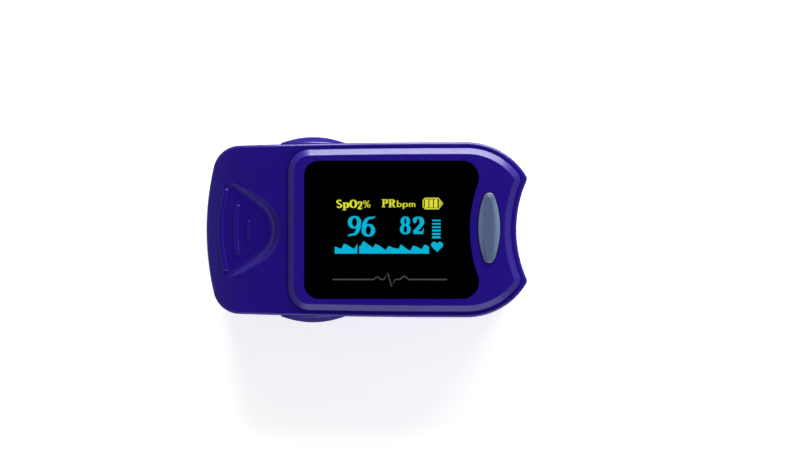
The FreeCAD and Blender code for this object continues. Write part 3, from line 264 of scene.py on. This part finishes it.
def brushed(name, color, rough, grain):
    """Metal with fine lines along its grain direction."""
    shader = Shader(name, color, rough)
    shader.bsdf.inputs["Metallic"].default_value = 1.0
    shader.vary_color(1.5 * MM, 0.08, grain)
    shader.vary_rough(0.5 * MM, 0.06, grain)
    shader.bump(shader.noise(0.08 * MM, detail=3.0, stretch=grain), 0.003 * MM, 0.6)
    return shader.material


def circuit_board():
    """Green solder mask over copper tracks, with a fibre weave under it."""
    shader = Shader("green_board", (0.012, 0.13, 0.055), 0.3)
    shader.bsdf.inputs["Coat Weight"].default_value = 0.4
    brick = shader.node("ShaderNodeTexBrick")
    mapping = shader.node("ShaderNodeMapping")
    tracks_per_metre = 420.0
    mapping.inputs["Scale"].default_value = (tracks_per_metre,) * 3
    shader.link(shader.place, mapping.inputs["Vector"])
    shader.link(mapping.outputs["Vector"], brick.inputs["Vector"])
    brick.inputs["Color1"].default_value = (0.008, 0.105, 0.045, 1.0)
    brick.inputs["Color2"].default_value = (0.012, 0.14, 0.06, 1.0)
    brick.inputs["Mortar"].default_value = (0.03, 0.24, 0.11, 1.0)
    brick.inputs["Mortar Size"].default_value = 0.06
    brick.inputs["Brick Width"].default_value = 1.3
    brick.inputs["Row Height"].default_value = 0.45
    shader.link(brick.outputs["Color"], shader.bsdf.inputs["Base Color"])
    shader.bump(brick.outputs["Fac"], 0.02 * MM, 0.5)
    shader.bump(shader.noise(0.3 * MM), 0.01 * MM, 0.4)
    return shader.material


def chip_resin(name, color):
    """Moulded resin with a fine grain."""
    shader = Shader(name, color, 0.5)
    shader.vary_color(0.5 * MM, 0.25)
    shader.vary_rough(0.4 * MM, 0.08)
    shader.bump(shader.noise(0.08 * MM, detail=4.0), 0.008 * MM, 0.7)
    return shader.material


def cell_jacket(name, forward):
    """An AAA cell's printed film: copper band at the capped end, dark body, bare steel ends."""
    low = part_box(name)[0].x
    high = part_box(name)[1].x
    shader = Shader(name + "_film", (0.02, 0.02, 0.022), 0.3)
    shader.bsdf.inputs["Metallic"].default_value = 0.6
    along = shader.calc("SUBTRACT", shader.axis(0), low)
    share = shader.calc("DIVIDE", along, high - low)
    if not forward:
        share = shader.calc("SUBTRACT", 1.0, share)
    steel = (0.6, 0.6, 0.6)
    dark = (0.018, 0.018, 0.02)
    copper = (0.62, 0.3, 0.12)
    stops = [(0.0, steel), (0.012, dark), (0.66, copper), (0.965, steel)]
    color = shader.ramp(share, stops)
    color.node.color_ramp.interpolation = "CONSTANT"
    shader.link(color, shader.bsdf.inputs["Base Color"])
    shader.vary_rough(2 * MM, 0.05)
    shader.bump(shader.noise(0.6 * MM), 0.008 * MM, 0.4)
    return shader.material


def cable_film():
    """Amber film with parallel copper tracks under it."""
    shader = Shader("amber_cable", (0.5, 0.2, 0.03), 0.28)
    pitch = 0.8 * MM
    track = shader.calc("SINE", shader.calc("MULTIPLY", shader.axis(1), 2 * math.pi / pitch))
    color = shader.ramp(track, [(0.35, (0.42, 0.15, 0.02)), (0.6, (0.72, 0.36, 0.1))])
    shader.link(color, shader.bsdf.inputs["Base Color"])
    shader.bump(track, 0.015 * MM, 0.5)
    shader.vary_rough(0.8 * MM, 0.05)
    return shader.material


SHELL = shell_plastic()
FRAME = frame_plastic()
SILICONE = silicone()
BUTTON = button_plastic()
LENS = window_plastic("smoked_window", (0.5, 0.5, 0.52), 0.03)
CLEAR = window_plastic("clear_window", (0.92, 0.95, 0.96), 0.05)
GASKET = black_film("black_gasket", 0.6)
PANEL = black_film("display_glass", 0.5)
YELLOW = glow("lit_yellow", (0.84, 0.86, 0.045), 1.9)
CYAN = glow("lit_cyan", (0.004, 0.62, 0.88), 1.6)
INK = print_ink()
STEEL = brushed("bright_steel", (0.62, 0.62, 0.63), 0.22, (1.0, 8.0, 1.0))
WIRE = brushed("spring_wire", (0.55, 0.55, 0.57), 0.25, EVEN)
NICKEL = brushed("nickel_plate", (0.66, 0.62, 0.55), 0.25, (1.0, 1.0, 8.0))
BOARD = circuit_board()
RESIN = chip_resin("chip_resin", (0.012, 0.012, 0.013))
IVORY = chip_resin("ivory_resin", (0.7, 0.66, 0.55))
FILM = cable_film()

for node in ("upper_shell", "lower_shell", "battery_door"):
    dress(node, SHELL)
for node in ("upper_frame", "lower_frame", "display_bracket"):
    dress(node, FRAME)
for node in ("main_board", "sensor_board"):
    dress(node, BOARD)
for node in ("controller_chip", "driver_chip", "photodiode", "ribbon_socket", "tact_switch"):
    dress(node, RESIN)
for node in ("led_emitter", "switch_plunger"):
    dress(node, IVORY)
for node in ("emitter_window", "sensor_window"):
    dress(node, CLEAR)
for node in ("contact_link_plate", "contact_plate_left", "contact_plate_right"):
    dress(node, NICKEL)
for node in ("contact_spring_left", "contact_spring_right"):
    dress(node, WIRE)
dress("display_lens", LENS)
dress("lens_gasket", GASKET)
dress("oled_panel", PANEL)
dress("power_button", BUTTON)
dress("battery_left", cell_jacket("battery_left", True))
dress("battery_right", cell_jacket("battery_right", False))
for node in NODES:
    if "screw" in node or node in ("hinge_pin", "crystal"):
        dress(node, STEEL)


# ---------------------------------------------------------------- mesh helpers


def add_mesh(name, points, faces, material, body, smooth=True):
    """Makes a mesh piece, which rides on a CAD body if one is named."""
    mesh = bpy.data.meshes.new(name)
    mesh.from_pydata([tuple(p) for p in points], [], faces)
    mesh.update()
    for face in mesh.polygons:
        face.use_smooth = smooth
    mesh.materials.append(material)
    piece = bpy.data.objects.new(name, mesh)
    bpy.context.scene.collection.objects.link(piece)
    if body:
        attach(piece, body)
    return piece


def arc(cx, cy, rx, ry, start, end, count=14):
    """Points along an ellipse from one angle to another, in degrees."""
    angles = [math.radians(start + (end - start) * i / count) for i in range(count + 1)]
    return [(cx + rx * math.cos(a), cy + ry * math.sin(a)) for a in angles]


def pen(path, thick, thin):
    """A stroke with a broad pen, whose upright parts are thick and level parts thin, as a row of quads."""
    sides = []
    last = len(path) - 1
    for i, (x, y) in enumerate(path):
        before = path[max(i - 1, 0)]
        after = path[min(i + 1, last)]
        dx = after[0] - before[0]
        dy = after[1] - before[1]
        length = math.hypot(dx, dy) or 1.0
        half = math.hypot(thick * dy / length, thin * dx / length) / 2.0
        left = (x - dy / length * half, y + dx / length * half)
        right = (x + dy / length * half, y - dx / length * half)
        sides.append((left, right))
    return [[a[0], a[1], b[1], b[0]] for a, b in zip(sides, sides[1:])]


def bar(x0, y0, x1, y1):
    """A rectangle between two corners."""
    return [(x0, y0), (x1, y0), (x1, y1), (x0, y1)]


def glyphs():
    """Letters and figures one unit high, each as a list of polygons."""
    bold = 0.235
    thin = 0.085
    shapes = {}
    six = pen(arc(0.44, 0.4, 0.33, 0.52, 80, 175), 0.2, 0.1)
    six.append([(0.44, 0.96), (0.66, 1.0), (0.66, 0.94), (0.48, 0.86)])
    six += pen(arc(0.33, 0.3, 0.23, 0.27, 180, 540, 30), 0.21, 0.09)
    shapes["6"] = six
    shapes["9"] = [[(0.66 - x, 1.0 - y) for x, y in poly] for poly in six]
    eight = pen(arc(0.31, 0.74, 0.185, 0.225, 0, 360, 24), bold, thin)
    eight += pen(arc(0.31, 0.27, 0.225, 0.245, 0, 360, 24), bold, thin)
    shapes["8"] = eight
    two = pen(arc(0.3, 0.7, 0.2, 0.26, 165, -30) + [(0.3, 0.33), (0.1, 0.1)], bold, thin)
    two += [bar(0.05, 0.0, 0.56, 0.15), [(0.5, 0.1), (0.56, 0.1), (0.6, 0.3), (0.55, 0.3)]]
    two.append(arc(0.13, 0.72, 0.09, 0.09, 0, 360))
    shapes["2"] = two
    spine = [(0.12, 0.66), (0.2, 0.56), (0.36, 0.45), (0.45, 0.36)]
    curve = arc(0.27, 0.74, 0.17, 0.21, 35, 180, 9) + spine + arc(0.28, 0.27, 0.18, 0.22, 0, -145, 9)
    shapes["S"] = pen(curve, 0.19, 0.12) + [bar(0.4, 0.76, 0.45, 0.97), bar(0.07, 0.04, 0.12, 0.26)]
    shapes["O"] = pen(arc(0.36, 0.5, 0.28, 0.46, 0, 360, 28), bold, thin)
    stem = [bar(0.12, 0.0, 0.3, 1.0), bar(0.02, 0.0, 0.4, 0.07), bar(0.02, 0.93, 0.3, 1.0)]
    bowl = pen([(0.28, 0.96)] + arc(0.36, 0.73, 0.2, 0.23, 90, -90) + [(0.28, 0.5)], bold, thin)
    shapes["P"] = stem + bowl
    leg = pen([(0.38, 0.5), (0.6, 0.03)], 0.17, 0.17)
    shapes["R"] = stem + bowl + leg + [bar(0.56, 0.0, 0.74, 0.07)]
    low_stem = [bar(0.1, -0.3, 0.27, 0.66), bar(0.02, -0.3, 0.36, -0.24), bar(0.02, 0.59, 0.2, 0.66)]
    shapes["p"] = low_stem + pen(arc(0.33, 0.33, 0.19, 0.3, 140, -140, 18), bold, thin)
    ring = arc(0, 0, 0.13, 0.2, 0, 360, 16)
    percent = pen([(x + 0.17, y + 0.74) for x, y in ring], 0.09, 0.07)
    percent += pen([(x + 0.58, y + 0.24) for x, y in ring], 0.09, 0.07)
    shapes["%"] = percent + pen([(0.16, 0.0), (0.6, 1.0)], 0.08, 0.08)
    light = 0.1
    light_bowl = pen(arc(0.26, 0.31, 0.17, 0.26, 150, -150, 18), light, light)
    shapes["b"] = [bar(0.06, 0.0, 0.16, 1.0)] + light_bowl
    shapes["light p"] = [bar(0.06, -0.3, 0.16, 0.6)] + light_bowl
    em = [bar(0.06, 0.0, 0.16, 0.6)]
    for x in (0.11, 0.35):
        em += pen([(x, 0.42)] + arc(x + 0.12, 0.42, 0.12, 0.14, 180, 0, 8) + [(x + 0.24, 0.0)], light, light)
    shapes["m"] = em
    return shapes


GLYPHS = glyphs()


def set_glyph(letter, x0, x1, y, height):
    """A glyph's polygons, stretched from x0 to x1, standing at y."""
    shape = GLYPHS[letter]
    left = min(px for poly in shape for px, _ in poly)
    right = max(px for poly in shape for px, _ in poly)
    scale = (x1 - x0) / (right - left)
    return [[(x0 + (px - left) * scale, y + py * height) for px, py in poly] for poly in shape]


def set_line(letters, y, height):
    """A line of glyphs, each given with its left and right edge."""
    polygons = []
    for letter, x0, x1 in letters:
        polygons += set_glyph(letter, x0, x1, y, height)
    return polygons


def lay_flat(name, polygons, z, material, body):
    """Makes a piece of flat polygons, given in millimetres, that face up at one height in metres."""
    points = []
    faces = []
    for poly in polygons:
        faces.append(list(range(len(points), len(points) + len(poly))))
        points += [(x * MM, y * MM, z) for x, y in poly]
    piece = add_mesh(name, points, faces, material, body, smooth=False)
    for face in piece.data.polygons:
        if face.normal.z < 0:
            face.flip()


# ---------------------------------------------------------------- lit display

FIGURE_LIFT = 0.02 * MM
INK_LIFT = 0.008 * MM
PANEL_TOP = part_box("oled_panel")[1].z + FIGURE_LIFT


def trace_polygons(base, corners):
    """The filled pulse trace under a line whose corners are given as a place and a height over base."""
    slices = []
    for (xa, high_a), (xb, high_b) in zip(corners, corners[1:]):
        slices.append([(xa, base), (xb, base), (xb, base + high_b), (xa, base + high_a)])
    return slices


def heart(cx, cy, size):
    """A heart as a fan of triangles round its middle."""
    outline = []
    steps = 36
    curve_size = 34
    curve_shift = 1.5
    for i in range(steps):
        a = 2 * math.pi * i / steps
        x = 16 * math.sin(a) ** 3
        y = 13 * math.cos(a) - 5 * math.cos(2 * a) - 2 * math.cos(3 * a) - math.cos(4 * a)
        outline.append((cx + x * size / curve_size, cy + (y + curve_shift) * size / curve_size))
    return [[(cx, cy), a, b] for a, b in zip(outline, outline[1:] + outline[:1])]


def battery_mark(x, y, length, height):
    """A battery outline with a pointed end, three bars of charge, and a filled point."""
    top = y + height
    middle = y + height / 2
    shoulder = x + length * 0.78
    cut = 0.36
    line = 0.2
    gap = 0.3
    pitch = 0.83
    width = 0.66
    outline = [(x + cut, y), (shoulder, y), (x + length, middle), (shoulder, top), (x + cut, top)]
    outline += [(x, top - cut), (x, y + cut), (x + cut, y), (shoulder, y)]
    polygons = pen(outline, line, line)
    for i in range(3):
        left = x + gap + i * pitch
        polygons.append(bar(left, y + line, left + width, top - line))
    polygons.append([(shoulder + 0.1, y + 0.32), (x + length - 0.25, middle), (shoulder + 0.1, top - 0.32)])
    return polygons


# Places in millimetres from the origin of the part.
yellow = set_line([("S", -5.41, -4.3), ("p", -4.3, -2.98), ("O", -3.03, -1.57)], 3.99, 1.47)
yellow += set_line([("2", -1.55, -0.66)], 3.73, 1.45) + set_line([("%", -0.55, 0.83)], 4.03, 1.33)
yellow += set_line([("P", 2.85, 4.08), ("R", 4.06, 5.43)], 4.1, 1.45)
yellow += set_line([("b", 5.63, 6.54), ("light p", 6.7, 7.7), ("m", 7.86, 8.99)], 4.15, 1.2)
yellow += battery_mark(10.42, 3.83, 3.56, 1.92)
lay_flat("screen_labels", yellow, PANEL_TOP, YELLOW, "upper")

cyan = set_line([("9", -3.31, -0.85), ("6", -0.82, 1.69)], -1.18, 3.64)
cyan += set_line([("8", 6.18, 8.16), ("2", 8.44, 10.63)], -0.76, 3.14)
# six bars that get thicker towards the heart
for i in range(6):
    top = 1.83 - i * 0.6
    cyan.append(bar(12.04, top - 0.25 - 0.03 * i, 13.6, top))
cyan += heart(12.96, -3.1, 2.32)
# the trace is broken where the sweep has got to
TRACE_BASE = -4.34
before = [(-5.68, 1.3), (-4.47, 0.88), (-4.0, 1.82), (-3.4, 1.6), (-2.2, 0.85), (-1.57, 1.75)]
after = [(-1.24, 1.3), (-0.9, 1.5), (-0.5, 2.28), (0.2, 1.85), (1.24, 1.05), (1.74, 1.8), (2.6, 1.35)]
after += [(3.56, 0.65), (4.14, 1.4), (5.0, 1.05), (5.96, 0.88), (6.34, 1.7), (7.2, 1.05), (7.8, 0.62)]
after += [(8.15, 0.6), (8.53, 1.46), (9.3, 1.25), (10.18, 0.8), (10.6, 1.6), (11.0, 1.55), (11.5, 1.2)]
cyan += trace_polygons(TRACE_BASE, before) + trace_polygons(TRACE_BASE, after)
lay_flat("screen_readings", cyan, PANEL_TOP, CYAN, "upper")

# A plain printed pulse line under the picture.
PRINT_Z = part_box("display_lens")[1].z + INK_LIFT
PRINT_WIDTH = 0.26
pulse = [(-6.0, -9.0), (1.4, -9.0), (2.1, -8.5), (2.7, -9.0), (3.3, -9.0), (3.9, -7.75)]
pulse += [(4.7, -10.3), (5.3, -9.0), (6.2, -9.0), (7.0, -8.35), (7.8, -9.0), (14.7, -9.0)]
lay_flat("printed_line", pen(pulse, PRINT_WIDTH, PRINT_WIDTH), PRINT_Z, INK, "upper")


# ---------------------------------------------------------------- soft pads

PAD_WALL = 1.2 * MM
PAD_FLANGE = 0.38 * MM
MOUTH_RADIUS = 22.4 * MM
PART_Z = (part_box("upper_finger_pad")[0].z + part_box("lower_finger_pad")[1].z) / 2


def circle_through(half, rise):
    """Radius of the arc that rises this much over this half width."""
    return (half * half + rise * rise) / (2 * rise)


def smooth_step(value):
    """From 0 to 1 with no kink at either end."""
    value = min(max(value, 0.0), 1.0)
    return value * value * (3 - 2 * value)


def hump(distance, width):
    """A bell-shaped rise, 1 high at no distance."""
    return math.exp(-((distance / width) ** 2))


def finger_pad(node, up, window):
    """The soft liner of one half: an arch or a trough with a thin flange along each side, low grip ribs
    across it, a thicker rolled edge at the mouth, and a round hole over the window."""
    low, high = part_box(node)
    rise = high.z - PART_Z if up > 0 else PART_Z - low.z
    rim_gap = 0.08 * MM
    hole_gap = 0.15 * MM
    flange_half = high.y - rim_gap
    arch_half = 9.15 * MM
    foot = 0.6 * MM
    mouth_depth = 1.9 * MM
    skin = 0.12 * MM
    # the flange narrows from this far along, over this much
    narrow_from, narrow_over = 26 * MM, 4 * MM
    # ribs: their pitch and height, and how they fade out at the hole, the mouth and the rear end
    rib_pitch, rib_height = 2.3 * MM, 0.2 * MM
    hole_fade, rear_fade = 1.2 * MM, 2 * MM
    mouth_clear, mouth_fade = 2.0 * MM, 1.5 * MM
    # the bead along the mouth and the ring round the hole: how far in, how wide and how high
    bead_in, bead_width, bead_height = 0.8 * MM, 0.6 * MM, 0.22 * MM
    ring_in, ring_width, ring_height = 0.5 * MM, 0.4 * MM, 0.15 * MM
    # the grid: rows along the finger, columns round it
    rows = 62
    arch_columns = 24
    flange_columns = 3
    last = arch_columns + 2 * flange_columns
    window_low, window_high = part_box(window)
    hole_x = (window_low.x + window_high.x) / 2
    hole_radius = (window_high.x - window_low.x) / 2 + hole_gap
    row_step = (high.x - mouth_depth - low.x) / rows
    hole_row = round((hole_x - low.x) / row_step)
    hole_column = last // 2
    # cells left out on each side of the hole's middle, and rings of cells bent round it
    hole_block = 3
    hole_rings = 3

    def edge_x(y):
        """The mouth's concave front edge."""
        y = min(abs(y), arch_half)
        return high.x - math.sqrt(MOUTH_RADIUS**2 - y * y) + math.sqrt(MOUTH_RADIUS**2 - arch_half**2)

    def surface(inner):
        """Rows of points on one face of the liner."""
        half = arch_half - (PAD_WALL if inner else 0.0)
        height = rise - (PAD_WALL if inner else 0.0)
        radius = circle_through(half, height)
        center = height - radius
        widest = math.acos((foot - center) / radius)
        grid = []
        for row in range(rows + 1):
            share = row / rows
            line = []
            for column in range(last + 1):
                k = min(column, last - column)
                side = -1.0 if column * 2 < last else 1.0
                if k < flange_columns:
                    x = low.x + share * (edge_x(arch_half) - low.x)
                    narrow = smooth_step((x - low.x - narrow_from) / narrow_over)
                    root = half + (0.3 * MM if inner else 0.0)
                    rim = flange_half + (root + 0.25 * MM - flange_half) * narrow
                    y = side * (rim + (root - rim) * k / flange_columns)
                    z = skin if inner else PAD_FLANGE
                    line.append([x, y, z])
                    continue
                angle = widest * (2.0 * (column - flange_columns) / arch_columns - 1.0)
                y = radius * math.sin(angle)
                x = low.x + share * (edge_x(y) - low.x)
                around = max(abs(row - hole_row), abs(column - hole_column))
                if hole_block <= around < hole_block + hole_rings:
                    dx = x - hole_x
                    pull = 1.0 - (around - hole_block) / hole_rings
                    size = math.hypot(dx, y)
                    x += (hole_x + dx / size * hole_radius - x) * pull
                    y += (y / size * hole_radius - y) * pull
                z = center + math.sqrt(radius * radius - y * y)
                if inner:
                    from_edge = edge_x(y) - x
                    from_hole = math.hypot(x - hole_x, y) - hole_radius
                    rib = max(0.0, math.cos(2 * math.pi * (x - hole_x) / rib_pitch)) ** 2
                    clear = smooth_step(from_hole / hole_fade)
                    rib *= clear * smooth_step((from_edge - mouth_clear) / mouth_fade)
                    rib *= smooth_step((x - low.x - rear_fade) / rear_fade) * math.cos(angle) ** 0.5
                    bead = hump(from_edge - bead_in, bead_width)
                    ring = hump(from_hole - ring_in, ring_width)
                    lift = rib_height * rib + bead_height * bead + ring_height * ring
                    z -= lift * math.cos(angle)
                    y -= lift * math.sin(angle)
                line.append([x, y, z])
            grid.append(line)
        return grid

    inner = surface(True)
    outer = surface(False)
    width = last + 1
    points = [(x, y, PART_Z + up * z) for grid in (inner, outer) for line in grid for x, y, z in line]
    offset = (rows + 1) * width

    def kept(row, column):
        """Whether the grid has a cell here."""
        if not (0 <= row < rows and 0 <= column < last):
            return False
        in_rows = hole_row - hole_block <= row < hole_row + hole_block
        in_columns = hole_column - hole_block <= column < hole_column + hole_block
        return not (in_rows and in_columns)

    faces = []
    for row in range(rows):
        for column in range(last):
            if not kept(row, column):
                continue
            a = row * width + column
            b = a + 1
            c = b + width
            d = a + width
            faces.append([a, b, c, d])
            faces.append([a + offset, d + offset, c + offset, b + offset])
            # a wall between the two faces wherever the grid ends
            edges = [((row - 1, column), b, a), ((row + 1, column), d, c)]
            edges += [((row, column - 1), a, d), ((row, column + 1), c, b)]
            for beside, start, end in edges:
                if not kept(*beside):
                    faces.append([start, end, end + offset, start + offset])
    piece = add_mesh(node + "_skin", points, faces, SILICONE, "upper" if up > 0 else "lower")
    clean(piece)
    smoother = piece.modifiers.new("round", "SUBSURF")
    smoother.render_levels = 1
    smoother.levels = 1
    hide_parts(node)


def clean(piece):
    """Points all faces outwards and drops loose points."""
    work = bmesh.new()
    work.from_mesh(piece.data)
    loose = [point for point in work.verts if not point.link_faces]
    bmesh.ops.delete(work, geom=loose, context="VERTS")
    bmesh.ops.recalc_face_normals(work, faces=work.faces)
    work.to_mesh(piece.data)
    work.free()


finger_pad("upper_finger_pad", 1.0, "emitter_window")
finger_pad("lower_finger_pad", -1.0, "sensor_window")


# ---------------------------------------------------------------- springs and cable


# Rings past a wire's end: how far out they are and how wide, both as shares of its radius.
WIRE_END = [(0.4, 0.8), (0.7, 0.35)]


def tube(name, path, radius, material):
    """A round wire along a path, with rounded ends."""
    sides = 12
    points = []
    faces = []
    rings = []
    ahead = (path[1] - path[0]).normalized()
    side = ahead.orthogonal().normalized()
    last = len(path) - 1
    for i, place in enumerate(path):
        ahead = (path[min(i + 1, last)] - path[max(i - 1, 0)]).normalized()
        side = (side - ahead * side.dot(ahead)).normalized()
        up = ahead.cross(side)
        if i == 0:
            rings += [(place - ahead * radius * out, radius * wide, side, up) for out, wide in WIRE_END[::-1]]
        rings.append((place, radius, side, up))
        if i == last:
            rings += [(place + ahead * radius * out, radius * wide, side, up) for out, wide in WIRE_END]
    for place, size, side, up in rings:
        for k in range(sides):
            turn = 2 * math.pi * k / sides
            points.append(place + (side * math.cos(turn) + up * math.sin(turn)) * size)
    for i in range(len(rings) - 1):
        for k in range(sides):
            a = i * sides + k
            b = i * sides + (k + 1) % sides
            faces.append([a, b, b + sides, a + sides])
    faces.append(list(range(sides))[::-1])
    faces.append([len(points) - sides + k for k in range(sides)])
    piece = add_mesh(name, points, faces, material, None)
    clean(piece)
    return piece


pin_low, pin_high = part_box("hinge_pin")
PIVOT_X = (pin_low.x + pin_high.x) / 2
PIVOT_Z = (pin_low.z + pin_high.z) / 2


def torsion_spring(node, side):
    """Four and a half turns round the hinge pin, between a lower leg and an upper leg."""
    wire = 0.4 * MM
    coil = 2.2 * MM
    turns = 4.5
    steps_per_turn = 24
    leg_steps = 8
    lower_leg = 6.6 * MM
    upper_leg = 10.0 * MM
    # from each end of the CAD spring to the middle of the wire
    near_inset = 0.79 * MM
    far_inset = 0.73 * MM
    low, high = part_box(node)
    near_y = min(abs(low.y), abs(high.y)) + near_inset
    far_y = max(abs(low.y), abs(high.y)) - far_inset
    lower_tip = Vector((PIVOT_X - lower_leg, side * near_y, PIVOT_Z - coil))
    lower_root = Vector((PIVOT_X, lower_tip.y, lower_tip.z))
    upper_tip = Vector((PIVOT_X - upper_leg, side * far_y, PIVOT_Z + coil))
    upper_root = Vector((PIVOT_X, upper_tip.y, upper_tip.z))
    path = [lower_tip.lerp(lower_root, i / leg_steps) for i in range(leg_steps)]
    count = int(turns * steps_per_turn)
    for i in range(count + 1):
        turn = 2 * math.pi * turns * i / count
        y = side * (near_y + (far_y - near_y) * i / count)
        path.append(Vector((PIVOT_X + coil * math.sin(turn), y, PIVOT_Z - coil * math.cos(turn))))
    path += [upper_root.lerp(upper_tip, i / leg_steps) for i in range(1, leg_steps + 1)]
    piece = tube(node + "_wire", path, wire, WIRE)
    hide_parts(node)
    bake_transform(piece)


torsion_spring("torsion_spring_left", 1.0)
torsion_spring("torsion_spring_right", -1.0)


def rounded(corners, radius):
    """A path in the XZ plane through corners, with the inner corners rounded, as closely spaced points."""
    step = 0.3 * MM
    bend_steps = 8
    places = [Vector((x, z)) for x, z in corners]
    bends = [places[0]]
    for before, corner, after in zip(places, places[1:], places[2:]):
        start = corner + (before - corner).normalized() * radius
        end = corner + (after - corner).normalized() * radius
        for i in range(bend_steps + 1):
            share = i / bend_steps
            bends.append((1 - share) ** 2 * start + 2 * share * (1 - share) * corner + share**2 * end)
    bends.append(places[-1])
    path = [bends[0]]
    for here, ahead in zip(bends, bends[1:]):
        count = max(int((ahead - here).length / step), 1)
        path += [here.lerp(ahead, (i + 1) / count) for i in range(count)]
    return path


def ribbon(name, corners, half_width):
    """A flat cable along a path in the XZ plane."""
    thick = 0.14 * MM
    path = rounded(corners, 1.0 * MM)
    points = []
    last = len(path) - 1
    for i, place in enumerate(path):
        ahead = (path[min(i + 1, last)] - path[max(i - 1, 0)]).normalized()
        off = Vector((-ahead.y, ahead.x)) * thick / 2
        for y, shift in ((-half_width, off), (half_width, off), (half_width, -off), (-half_width, -off)):
            points.append((place.x + shift.x, y, place.y + shift.y))
    faces = []
    for i in range(last):
        for k in range(4):
            a = i * 4 + k
            b = i * 4 + (k + 1) % 4
            faces.append([a, b, b + 4, a + 4])
    faces += [[3, 2, 1, 0], [last * 4 + k for k in range(4)]]
    piece = add_mesh(name, points, faces, FILM, None, smooth=False)
    clean(piece)
    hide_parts("flex_cable")
    return piece


# The cable turns up behind the lower frame, passes the hinge, and turns in over the board. Its lower piece
# Its lower piece runs from the lower half to the pin, and its upper piece from the pin to the upper half.
cable_low, cable_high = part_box("flex_cable")
CABLE_INSET = 0.1 * MM
CABLE_HALF = cable_high.y - 0.05 * MM
cable_x = cable_low.x + CABLE_INSET
bottom_z = cable_low.z + CABLE_INSET
top_z = cable_high.z - CABLE_INSET
split_z = PIVOT_Z - 0.25 * MM
board_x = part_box("main_board")[0].x + 1.2 * MM

down_route = [(cable_high.x, bottom_z), (cable_x, bottom_z), (cable_x, split_z)]
lower_cable = ribbon("lower_flex_cable", down_route, CABLE_HALF)
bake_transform(lower_cable)

up_route = [(cable_x, split_z), (cable_x, top_z), (board_x, top_z)]
upper_cable = ribbon("upper_flex_cable", up_route, CABLE_HALF)
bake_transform(upper_cable)


# ---------------------------------------------------------------- stage


def area_light(name, place, target, size, watts):
    """A rectangular lamp that isn't seen through the window, where it would hide the display."""
    light = bpy.data.lights.new(name, "AREA")
    light.shape = "RECTANGLE"
    light.size, light.size_y = size
    light.energy = watts
    lamp = bpy.data.objects.new(name, light)
    bpy.context.scene.collection.objects.link(lamp)
    lamp.location = place
    aim = Vector(target) - Vector(place)
    lamp.rotation_euler = aim.to_track_quat("-Z", "Y").to_euler()
    lamp.visible_transmission = False
    return lamp


def light_table():
    """A pale floor that glows a little, just under the part, and isn't mirrored in it."""
    shader = Shader("pale_floor", (0.93, 0.93, 0.93), 0.7)
    shader.vary_color(0.3, 0.01)
    shader.bsdf.inputs["Emission Color"].default_value = (1.0, 1.0, 1.0, 1.0)
    shader.bsdf.inputs["Emission Strength"].default_value = 0.3
    half = 3.0
    z = -0.05 * MM
    corners = [(-half, -half, z), (half, -half, z), (half, half, z), (-half, half, z)]
    floor = add_mesh("floor", corners, [(0, 1, 2, 3)], shader.material, None)
    floor.visible_glossy = False


def surroundings():
    """A pale band round the horizon that darkens overhead and below."""
    world = bpy.data.worlds.new("studio")
    bpy.context.scene.world = world
    world.use_nodes = True
    tree = world.node_tree
    place = tree.nodes.new("ShaderNodeTexCoord")
    split = tree.nodes.new("ShaderNodeSeparateXYZ")
    ramp = tree.nodes.new("ShaderNodeValToRGB")
    tree.links.new(place.outputs["Generated"], split.inputs["Vector"])
    height = tree.nodes.new("ShaderNodeMath")
    height.operation = "MULTIPLY_ADD"
    height.inputs[1].default_value = 0.5
    height.inputs[2].default_value = 0.5
    tree.links.new(split.outputs["Z"], height.inputs[0])
    tree.links.new(height.outputs[0], ramp.inputs["Fac"])
    # places from straight down, 0, to straight up, 1, each with its brightness
    bands = [(0.0, 0.06), (0.46, 0.1), (0.52, 0.7), (0.7, 0.45), (0.92, 0.004)]
    for _ in bands[2:]:
        ramp.color_ramp.elements.new(0.5)
    # a slightly cool grey
    for element, (position, gray) in zip(ramp.color_ramp.elements, bands):
        element.position = position
        element.color = (gray, gray, gray * 1.02, 1.0)
    tree.links.new(ramp.outputs["Color"], tree.nodes["Background"].inputs["Color"])
    tree.nodes["Background"].inputs["Strength"].default_value = 1.0


def lamps():
    """A bright low softbox on the left, a weaker one on the right, and two high lamps for the matt colour,
    which leave no glare on the window."""
    middle = (0.0, 0.0, 0.02)
    in_front = (0.14, 0.0, 0.02)
    square = (0.4, 0.4)
    area_light("left_softbox", (0.14, 0.42, 0.1), in_front, (0.42, 0.18), 4.4)
    area_light("right_softbox", (0.05, -0.45, 0.12), middle, (0.6, 0.2), 0.9)
    area_light("high_left", (0.02, 0.6, 0.55), middle, square, 4.2).visible_glossy = False
    area_light("high_right", (0.3, -0.56, 0.55), middle, square, 4.4).visible_glossy = False


def camera():
    """Straight above, with the object left of the middle of the view. The field is the width seen at a
    height of 30 mm."""
    data = bpy.data.cameras.new("camera")
    sensor = 36.0
    height = 0.03
    distance = 0.46
    field = 0.1456
    data.sensor_width = sensor
    data.lens = sensor * distance / field
    eye = bpy.data.objects.new("camera", data)
    bpy.context.scene.collection.objects.link(eye)
    eye.location = (6.2 * MM, 0.6 * MM, height + distance)
    bpy.context.scene.camera = eye
    bpy.context.scene.view_settings.view_transform = "Standard"


light_table()
surroundings()
lamps()
camera()
